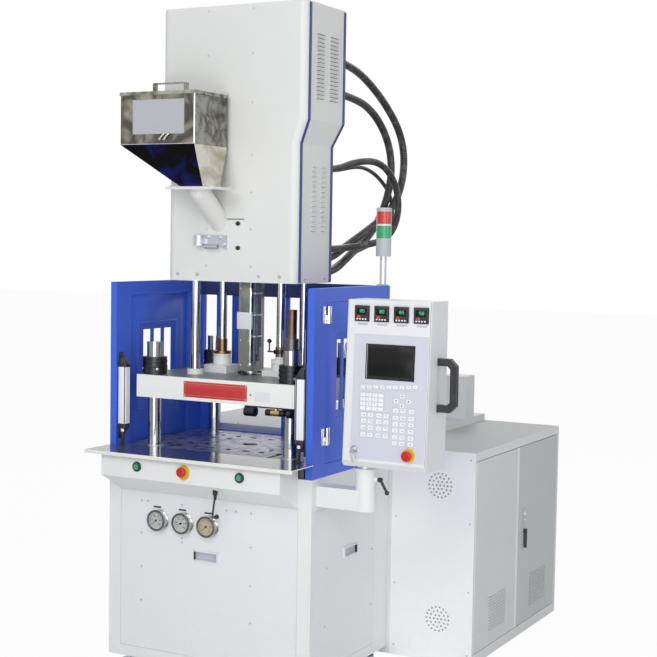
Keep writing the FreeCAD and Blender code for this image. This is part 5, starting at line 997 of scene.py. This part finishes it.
def tower_parts():
    heights = (2720, 2542, 2346, 2134, 1985, 1835, 1684)
    back = [at(side * 268, 482, z, BACK) for side in (-1, 1) for z in (1660, 1840, 2020, 2160)]
    back += [at(side * 300, 514, z, BACK) for side in (-1, 1) for z in (2300, 2500, 2715)]
    for name, radius, height, places in (
            ("tower_screws", 4.6, 2.2,
             [at(x, TOWER_FRONT, z) for x in (-115, 98) for z in heights]),
            ("tower_foot_bolts", 8, 4.5,
             [at(x, TOWER_FRONT, 1648) for x in (-255, -158, 138, 235)]),
            ("tower_back_screws", 4.6, 2.2, back),
            ("tower_side_bolts", 7, 4,
             [at(side * 307, y, 1642, face) for side, _, face in reversed(SIDES)
              for y in (235, 400)])):
        screws(name, radius, height, places, "carriage")
    oval = Matrix.Diagonal((1.25, 1, 1, 1))
    # dark oval discs stand for the shade inside two oval holes in the cover: painted shade
    dress(disc("tower_hole_shades", 9, 2.4, (0, -1.2, 0), soft=(0.9, 3),
               steps=((3.2, 0), (0, 1.0))), rubber, "carriage", "black_plastic",
          *[at(x, TOWER_FRONT, z) @ oval for x, z in ((36, 1858), (37, 1759))])
    # a thin dark strip stands for the shade inside the slit: painted shade
    dress(tile("sight_slit", (82, 0.8, 3.4), (0.3, 1), ((0.7, 0.3),)), mark_dark, "carriage",
          "black_plastic", at(24, TOWER_FRONT, 1876))


# ------------------------------------------------------------------ platen, guards and bed
def name_plate():
    """A bare enamelled plate with a raised gilt line and four corner screws, and a bare note."""
    x, z = 9.2, 1181.5
    middle = at(x, PLATEN_FRONT, z)
    dress(tile("platen_plate", (303, 1.4, 65), (0.5, 2)), plate_red, "clamp", "red_plastic",
          middle)
    dress(block("platen_plate_line", (288, 0.5, 50), (0, -1.6, 0), wall=1.1), gilt, "clamp",
          "bronze", middle)
    screws("platen_plate_screws", 3.1, 1.4,
           [at(x + right, PLATEN_FRONT - 1.4, z + up) for right in (-145.5, 145.5)
            for up in (-26.5, 26.5)], "clamp")
    dress(tile("platen_note", (72, 0.5, 39), (0.2, 1)), note_paper, "clamp", "white_panel",
          at(232, PLATEN_FRONT, 1172))
    screws("platen_screw", 3.4, 2, [at(178.3, PLATEN_FRONT, 1177)], "clamp", black_oxide,
           "black_steel")


def collar_rings():
    """Turned ribs and lock screws round the black tie bar collars."""
    ribs = [place(disc("collar_rib", 51.6, 7, axis="z", sides=64, wall=3, soft=(0.9, 2, 60)),
                  shift(0, 0, height)) for height in (1241, 1261, 1281)]
    dress(join("collar_ribs", ribs), black_oxide, "clamp", "black_steel",
          *[at(x, y, 0) for x, y in TIE_CORNERS])
    screws("collar_screws", 5, 3.4,
           [at(x, y, 1251) @ turned("Z", 45 + 90 * step) @ shift(0, -50, 0)
            for x, y in TIE_CORNERS for step in range(4)], "clamp")


def rod_mounts():
    """Bolts on the rods' flanges, and the lever lying on the platen."""
    places = [at(side * ROD_X + x, ROD_Y + y, 1241, TOP) for side in (-1, 1)
              for x in (-45, 45) for y in (-45, 45)]
    screws("flange_bolts", 8, 9, places, "clamp", flange_paint)
    lever = join("lock_lever", [
        disc("lock_lever", 5, 92, axis="x", sides=20, soft=(1.5, 3, 60)),
        disc("lock_lever_boss", 10, 16, (-30, 0, 0), "z", 28, soft=(2, 3, 60)),
        disc("lock_lever_knob", 8.5, 16, (-52, 0, 0), "x", 24, soft=(5, 4, 60))])
    dress(lever, dark_paint, "clamp", "black_steel", at(-4, 345, 1237) @ turned("Z", 24))


def shroud_parts():
    """Tag, cover strip, heater leads with their ties, and the guide rod by the barrel cover."""
    dress(block("shroud_tag", (70, 11, 70), (0, -5.6, 0), (0.4, 2)), note_paper, "carriage",
          "white_panel", at(2, SHROUD_FRONT, 1456))
    leads = []
    for y, radius, foot in ((291, 6.5, 1272), (306, 7.5, 1320), (322, 6, 1290), (337, 5, 1350)):
        height = 1618 - foot
        lead = disc("heater_lead", radius, height, axis="z", sides=20)
        with editing(lead, lambda face: abs(face.normal.z) < 0.5):
            bpy.ops.mesh.subdivide(number_cuts=1)
        plug = disc("heater_plug", radius + 2, 22, (0, 0, -height / 2 + 6), "z", 20,
                    soft=(1.8, 3, 60))
        leads.append(place(join("heater_lead", [lead, plug]),
                           at(32 + radius, y, foot + height / 2)))
    dress(join("heater_leads", leads), lead_blue, "carriage", "hose_sleeve")
    dress(block("lead_ties", (18, 60, 7), (39, 0, 0), (0.4, 2), wall=1.4, axis="z"),
          zinc_steel, "carriage", "zinc", *[at(0, 313, z) for z in (1390, 1480, 1570)])
    dress(tile("shroud_cover", (36, 2, 136), (0.5, 2)), shroud_steel, "carriage", "stainless",
          at(0, SHROUD_FRONT, 1550))
    rod = join("guide_rod", [disc("guide_rod", 5, 352, axis="z"),
                             disc("guide_rod_tip", 6.5, 14, (0, 0, -169), "z")])
    soften(rod, 1.2, 3, 60)
    dress(rod, bright_chrome, "carriage", "chrome", at(30, 273, 1442))
    screws("shroud_screws", 4, 2.4, [at(x, SHROUD_FRONT, z) for x in (-20, 20)
                                     for z in (1268, 1372, 1590)], "carriage")


def light_curtain(side, word, x, y):
    """White profile, dark window at its inner corner, black end brackets, gland and boot."""
    name = "curtain_" + word
    guard_face, half = 452.8, 16.8
    reach = guard_face - half - abs(x)
    profile = block(name + "_body", (38, 30, 240), soft=(3, 3))
    with editing(profile, lambda face: face.normal.x * side < -FLAT):
        inset(5)
        inset(1.2, -1.5)
    dress(profile, curtain_white, "machine", "white_paint", at(x, y, 1138),
          stands_for="light_curtains")
    dress(block(name + "_window", (1.6, 9, 226), soft=(0.5, 2)), screen_glass, "machine",
          "black_plastic", at(x - side * 18.6, y - 2, 1138))
    dress(block(name + "_edge", (4.4, 1.4, 236), soft=(0.5, 2)), mark_dark, "machine",
          "black_plastic", at(x - side * 14.4, y - 15.2, 1138))
    ends = []
    for up in (-1, 1):
        cap = block("curtain_cap", (40, 32, 14), (0, 0, up * 127), (2.5, 3))
        horn = block("curtain_horn", (36, 28, 30), (0, 0, up * 148))
        with editing(horn, lambda face: face.normal.z * up > FLAT):
            bpy.ops.transform.resize(value=(0.42, 0.6, 1))
            bpy.ops.transform.translate(value=(side * 7 * MM, 0, 0))
        soften(horn, 2, 3)
        ends += [cap, horn]
    ends.append(block("curtain_bracket", (reach, 22, 362), (side * (half + reach / 2), 4, 0),
                      (1, 2)))
    dress(join(name + "_ends", ends), black_plastic, "machine", "black_plastic", at(x, y, 1136))
    dress(disc(name + "_gland", 8.5, 12, axis="z", sides=6, soft=(1, 2)), curtain_white,
          "machine", "grey_plastic", at(x - side * 2, y - 9, 992))
    boot = join(name + "_boot", [
        disc(name + "_boot", 8, 56, axis="z", sides=28, taper=4.6, soft=(1, 2)),
        disc(name + "_foot", 9, 7, (0, 0, -25), "z", 28, soft=(1.5, 3))])
    dress(boot, rubber, "machine", "hose_sleeve", at(x - side * 2, y - 9, 958))


def hinge_leaves(side, word, face):
    """Plated butt hinges on a guard's outer face, one leaf on the frame and one on the door."""
    thick, heights = 2.2, (1028, 1506)
    for kind, y, body in (("fixed", 82, "machine"), ("moving", 125, "guard_leaf_" + word)):
        name = word + "_hinge_" + kind
        dress(tile(name, (25, thick, 66), (0.8, 2)), pale_chrome, body, "chrome",
              *[at(side * SIDE_X, y, z, face) for z in heights])
        screws(name + "_screws", 3.4, 1.6, [at(side * (SIDE_X + thick), y, z + rise, face)
                                            for z in heights for rise in (-22, 0, 22)], body)


def guard_door(side, word):
    """A folded door: window opening outside, slotted sheet and raised frame inside."""
    def slab(name, inner, outer, *reaches, **more):
        return span(name, sorted((side * inner, side * outer)), *reaches, **more)

    door = slab("door_sheet", 463, SIDE_X, (105, 530), (920, 1554))
    slots = [slab("slot", 450, 470, (204 + 77 * i, 256 + 77 * i), (1120, 1402))
             for i in range(3)]
    carve(door, slab("window", 466, 490, (190, 452), (1092, 1430)), *slots)
    soften(door, 0.9, 2)
    parts = [door, slab("door_frame", 460, 463.5, (156, 456), (1050, 1440), soft=(0.9, 2),
                        wall=14, axis="x")]
    for z in (1028.4, 1506.4):
        parts += [slab("door_leaf", 482, 490, (106, 117), (z, z + 34)),
                  disc("door_knuckle", 7, 34, (side * 492, 103, z + 17), "z", wall=3.3)]
    name = "guard_door_" + word
    dress(join(name + "_sheet", parts), hinged_blue(name, side, 94, 36, 1027.5, 1505.5),
          "guard_leaf_" + word, "blue_paint", at(0, 0, 0), stands_for=name)


def rear_guard():
    """The rear sheet: five tall windows, and a low one under the two on the left, with painted
    shade along its top rail.
    """
    front, back, over = 638, 666, 10
    sheet = span("rear_sheet", (-SIDE_X, SIDE_X), (front, back), (868, 1608))
    openings = ((-443, -372, 1171, 1541), (-352, -290, 1171, 1541), (-190, -27, 934, 1541),
                (-3, 58, 934, 1541), (82, 430, 934, 1541), (-366, -180, 934, 1130))
    carve(sheet, *[span("opening", (left, right), (front - over, back + over), (low, high))
                   for left, right, low, high in openings])
    soften(sheet, 1.5, 2)
    # the top rail's inner face is painted dark navy: painted shade
    shade = zoned(blue_paint, "rear_guard_enamel",
                  (PAINT, {"Colour": (0.016, 0.035, 0.16), "Gloss": 0.4},
                   box_zone((-484, 630, 1538), (484, 640, 1612))))
    dress(sheet, shade, "machine", "blue_paint", at(0, 0, 0), stands_for="guard_rear")


def bed_holes():
    """The bolster's tapped holes, as dark discs of painted shade."""
    rows = (160, 240, 420, 500)
    wells = [at(x, y, TABLE_TOP, TOP) for x in range(-240, 241, 80) for y in rows
             if abs(x) > 90 or y in (rows[0], rows[-1])]
    dress(disc("bed_hole_shades", 11, 1.2, (0, -0.3, 0), sides=24, soft=(0.4, 1),
               steps=((2.2, 0.6), (1.0, 0.3))), well_dark, "machine", "black_steel", *wells)


# ------------------------------------------------------------------ control panel
def leaning(front, z):
    """How far back the panel's leaning face lies at a height."""
    return front + (z - PANEL_FOOT) * LEAN_BACK / LEAN_TALL


def on_membrane(x, z):
    """A place on the leaning membrane's face."""
    return at(x, leaning(-22, z), z, LEAN)


def key_model(name, width, height, proud=1.6, sunk=0.35):
    return tile(name, (width, proud, height), (0.5, 2), ((1.2, 0), (0, sunk)))


# each group's key width and height, and the places of its keys
KEYS = {
    "function": (19, 11, [(700 + 27 * i, 1247 + 1.6 * i) for i in range(9)]),
    "number": (19, 12, [(x, z) for z in (1219, 1202, 1185, 1168) for x in (702, 727, 752, 777)]),
    "left": (20, 14, [(x, z) for z in (1144, 1121, 1096, 1069) for x in (708, 737, 772, 802)]),
    "right": (20, 14, [(x, z) for z in (1168, 1141, 1118, 1093, 1068, 1046)
                       for x in (840, 870, 905)]),
    "arrow": (17, 13, [(865, 1222), (841, 1204), (891, 1204), (865, 1186)]),
}


def key_marks():
    """Figures on the number keys, and plain bars and dots on the others."""
    def mark(x, z, size, middle=0.0, right=0.0):
        bar = block("key_mark", size, (right, -1.5, middle), (0.1, 1))
        return place(bar, on_membrane(x, z))

    marks = []
    for index, (x, z) in enumerate(KEYS["number"][2][:12]):
        if index % 4 < 3:
            marks.append(words(str(3 * (index // 4) + index % 4 + 1), 8.5,
                               on_membrane(x, z) @ shift(0, -1.4, 0), 0.2))
    for index, (x, z) in enumerate(KEYS["left"][2] + KEYS["right"][2]):
        width = (9, 6, 12)[index % 3]
        marks += [mark(x, z, (width, 0.3, 1.6), (0, 1.5)[index % 2]),
                  mark(x, z, (2.4, 0.3, 2.4), -3, width / 2 - 1)]
    for index, (x, z) in enumerate(KEYS["function"][2]):
        marks.append(mark(x, z, (7 + 2 * (index % 2), 0.3, 1.4)))
    return marks


def keypad():
    for group, (width, height, places) in KEYS.items():
        dress(key_model(group + "_keys", width, height), key_white, "panel", "white_panel",
              *[on_membrane(x, z) for x, z in places])
    dress(join("key_marks", key_marks()), label_blue, "panel", "black_plastic")
    dress(disc("arrow_marks", 4.6, 0.5, (0, -1.5, 0), sides=3, soft=(0.1, 1)), mark_dark,
          "panel", "black_plastic",
          *[on_membrane(x, z) @ turned("Y", turn)
            for (x, z), turn in zip(KEYS["arrow"][2], (0, 90, -90, 180))])
    # thin printed frames round the key fields
    frames = [place(tile("key_frame", (width, 0.4, height), wall=0.9), on_membrane(x, z))
              for x, z, width, height in ((740, 1193, 104, 76), (755, 1106, 122, 98),
                                          (873, 1107, 96, 146), (808, 1253, 240, 22))]
    dress(join("key_frames", frames), key_grey, "panel", "grey_plastic")


def screen():
    """A black surround in the membrane's window, stepped down to the dark display."""
    for piece, finish in (
            (block("screen_surround", (203, 2.6, 133), (0, 0.5, 0), (0.7, 2),
                   ((4, 0.5), (7, 0), (1.2, 1.1))), screen_black),
            (block("screen_glass", (179, 0.8, 109), (0, 0.9, 0), (0.3, 2)), screen_glass),
            (block("screen_edge", (2.2, 0.5, 128), (-96, -0.8, 0), (0.2, 1)), key_grey)):
        dress(piece, finish, "panel", "black_plastic", on_membrane(808, 1344.5))


SEGMENTS = {"0": "abcdef", "1": "bc", "5": "afgcd", "6": "afedcg", "8": "abcdefg"}


def digit(value, height, where):
    """A seven-segment figure as thin bars."""
    half, width, thick = height / 2, height * 0.5, height * 0.13
    level, upright = (width, 0.3, thick), (thick, 0.3, half)
    bars = {"a": (0, half, level), "d": (0, -half, level), "g": (0, 0, level),
            "b": (width / 2, half / 2, upright), "c": (width / 2, -half / 2, upright),
            "f": (-width / 2, half / 2, upright), "e": (-width / 2, -half / 2, upright)}
    return [place(block("segment", size, (x, 0, z)), where)
            for x, z, size in (bars[segment] for segment in SEGMENTS[value])]


def controller(index, shown):
    """One temperature controller: bezel, window, two rows of figures, keys and a bare label."""
    x = 685 + 81.5 * index
    name = "controller_" + str(index + 1)
    where = at(x, 2.3, 1524)
    dress(tile(name + "_face", (55, 2.2, 55), (1.4, 3), ((2.4, 0), (0, 0.8))), black_plastic,
          "panel", "black_plastic", where)
    dress(block(name + "_window", (44, 1.0, 24), (0, -1.7, 7.5), (0.4, 2)), screen_glass,
          "panel", "black_plastic", where)
    upper, lower = [], []
    for column, figure in enumerate(shown):
        upper += digit(figure, 11, where @ shift(-9 + 9 * column, -2.3, 9.5))
        lower += digit(figure, 8, where @ shift(-20 + 6.0 * column, -1.6, -12))
    dress(join(name + "_measured", upper), digit_green, "panel", "green_plastic")
    dress(join(name + "_set", lower), digit_red, "panel", "red_plastic")
    dress(key_model(name + "_keys", 6.4, 5.6, 1.4, 0.2), key_white, "panel", "white_panel",
          *[where @ shift(-18 + 11.5 * i, -1.3, -21) for i in range(4)])
    dress(tile(name + "_label", (42, 0.7, 6.5), (0.2, 1)), key_grey, "panel", "grey_plastic",
          at(x + 2, leaning(-20, 1485), 1484, LEAN))


def key_and_tag():
    """The key's bow in the switch, and a tag on its ring."""
    bow = disc("key_bow", 11, 2.6, (0, -24, 0), "x", wall=5.2)
    stem = block("key_stem", (2.4, 14, 6), (0, -11, 0))
    collar = disc("key_collar", 6, 4, (0, -8.5, 0), sides=24, soft=(0.8,))
    key = join("key_bow", [bow, stem, collar])
    soften(key, 0.4, 2)
    dress(key, chrome, "key", "chrome", at(674, -19.7, 1010))
    ring = disc("tag_ring", 9, 1.6, (0, 0, -9), wall=1.6)
    tag = block("key_tag", (14, 2.0, 26), (-1, 0, -30), (0.9, 2))
    dress(join("key_tag", [ring, tag]), zinc_steel, "key", "zinc",
          at(674, -44.5, 1007) @ turned("Y", -14))


def panel_fixings():
    stop_head("panel_estop", 899, leaning(-20, 1004), 1004, "panel_stop", "panel")
    screws("handle_bolts", 6.5, 3, [at(968.5, 85, z, RIGHT) for z in (1162 + 14, 1364 - 14)],
           "panel")
    screws("panel_back_screws", 4.5, 2.5,
           [at(x, 163, z, BACK) for x in (640, 946) for z in (966, 1257, 1548)], "panel")


# ------------------------------------------------------------------ cabinet
def door_catch():
    """A plated swing handle: plate, barrel lock above and a dark slim lever."""
    dress(tile("door_catch_plate", (30, 3, 172), (1.2, 3), ((3, 0), (0, 0.8))), grey_plastic,
          "cabinet_leaf_rear", "zinc", at(LEAF_X, CATCH_Y, 505, RIGHT))
    locks = []
    for z, radius in ((571, 12), (543, 9.5)):
        ring = disc("door_lock", radius, 5, (0, -4.5, 0), sides=36, soft=(1.2, 3),
                    steps=((2.6, 0), (0, 1.2)))
        slot = place(block("door_lock_slot", (1.6, 1.0, 9), (0, -6.2, 0)), turned("Y", -32))
        locks.append(place(join("door_lock", [ring, slot]), at(LEAF_X, CATCH_Y, z, RIGHT)))
    dress(join("door_locks", locks), pale_chrome, "cabinet_leaf_rear", "zinc")
    lever = block("door_lever", (11, 13, 88), (0, -11.5, -2), (2.4, 3))
    with editing(lever, lambda face: face.normal.z < -FLAT):
        bpy.ops.transform.resize(value=(0.7, 0.7, 1))
    hub = disc("door_lever_hub", 8.5, 16, (0, -9.5, 30), soft=(1.6, 3, 60))
    dress(join("door_lever", [lever, hub]), dark_paint, "cabinet_handle", "black_plastic",
          at(LEAF_X, CATCH_Y, 460, RIGHT), stands_for="door_handle")


def cabinet_screws():
    front = [(x, z) for x in (520, 862) for z in (60, 330, 620, 890)]
    screws("cabinet_front_screws", 4.2, 2, [at(x, 689, z) for x, z in front])
    lid = [(-570, 1220), (-300, 1720), (200, 1720), (482, 1220), (-300, 720), (482, 760)]
    screws("cabinet_lid_screws", 5, 3, [at(x, y, 953, TOP) for x, y in lid])
    box = [(392, 1492), (488, 1492), (392, 1583), (488, 1583)]
    screws("junction_box_screws", 4, 2.4, [at(x, y, 1155, TOP) for x, y in box])


def vent_filters():
    """Pale filter mats pressed behind the two groups of air holes."""
    dress(disc("vent_filters", 80, 4, (0, 2.2, 0), sides=48, soft=(1.2, 2, 60)), filter_grey,
          "machine", "grey_plastic", at(723, 693, 199), at(723, 693, 771))


def louvre_gaps(word, y, wide):
    """Painted shadow lines in the gaps between a door's pressed hoods."""
    dress(tile("louvre_gaps_" + word, (wide, 0.6, 4.2), (0.2, 1)), louvre_shadow_brown,
          "cabinet_leaf_" + word, "grey_plastic",
          *[at(LEAF_X, y, 130.6 + 13 * step, RIGHT) for step in range(12)])


for cord_name, cord_facts in CORDS.items():
    lay_cord(cord_name, *cord_facts)
cable_boots()
panel_screws()
pull_cup("front_pull_cup", at(0, 1, 512))
pull_cup("right_pull_cup", at(SIDE_X - 1, 331, 534, RIGHT))
pull_cup("left_pull_cup", at(1 - SIDE_X, 331, 534, LEFT))
gauges()
start_button("start_left", -START_X)
start_button("start_right", START_X)
stop_head("front_estop", STOP_X, BOX_FRONT, BUTTON_Z, "front_stop", "machine", 8)
hopper_parts()
tower_parts()
name_plate()
collar_rings()
rod_mounts()
shroud_parts()
light_curtain(-1, "left", -431, 24)
light_curtain(1, "right", 418, 22)
for guard in SIDES:
    hinge_leaves(*guard)
rear_guard()
bed_holes()
for guard in SIDES:
    guard_door(*guard[:2])
keypad()
screen()
for number, figures in enumerate(("185", "180", "165", "158")):
    controller(number, figures)
key_and_tag()
panel_fixings()
door_catch()
cabinet_screws()
vent_filters()
louvre_gaps("front", 970.5, 196)
louvre_gaps("rear", 1482.5, 212)
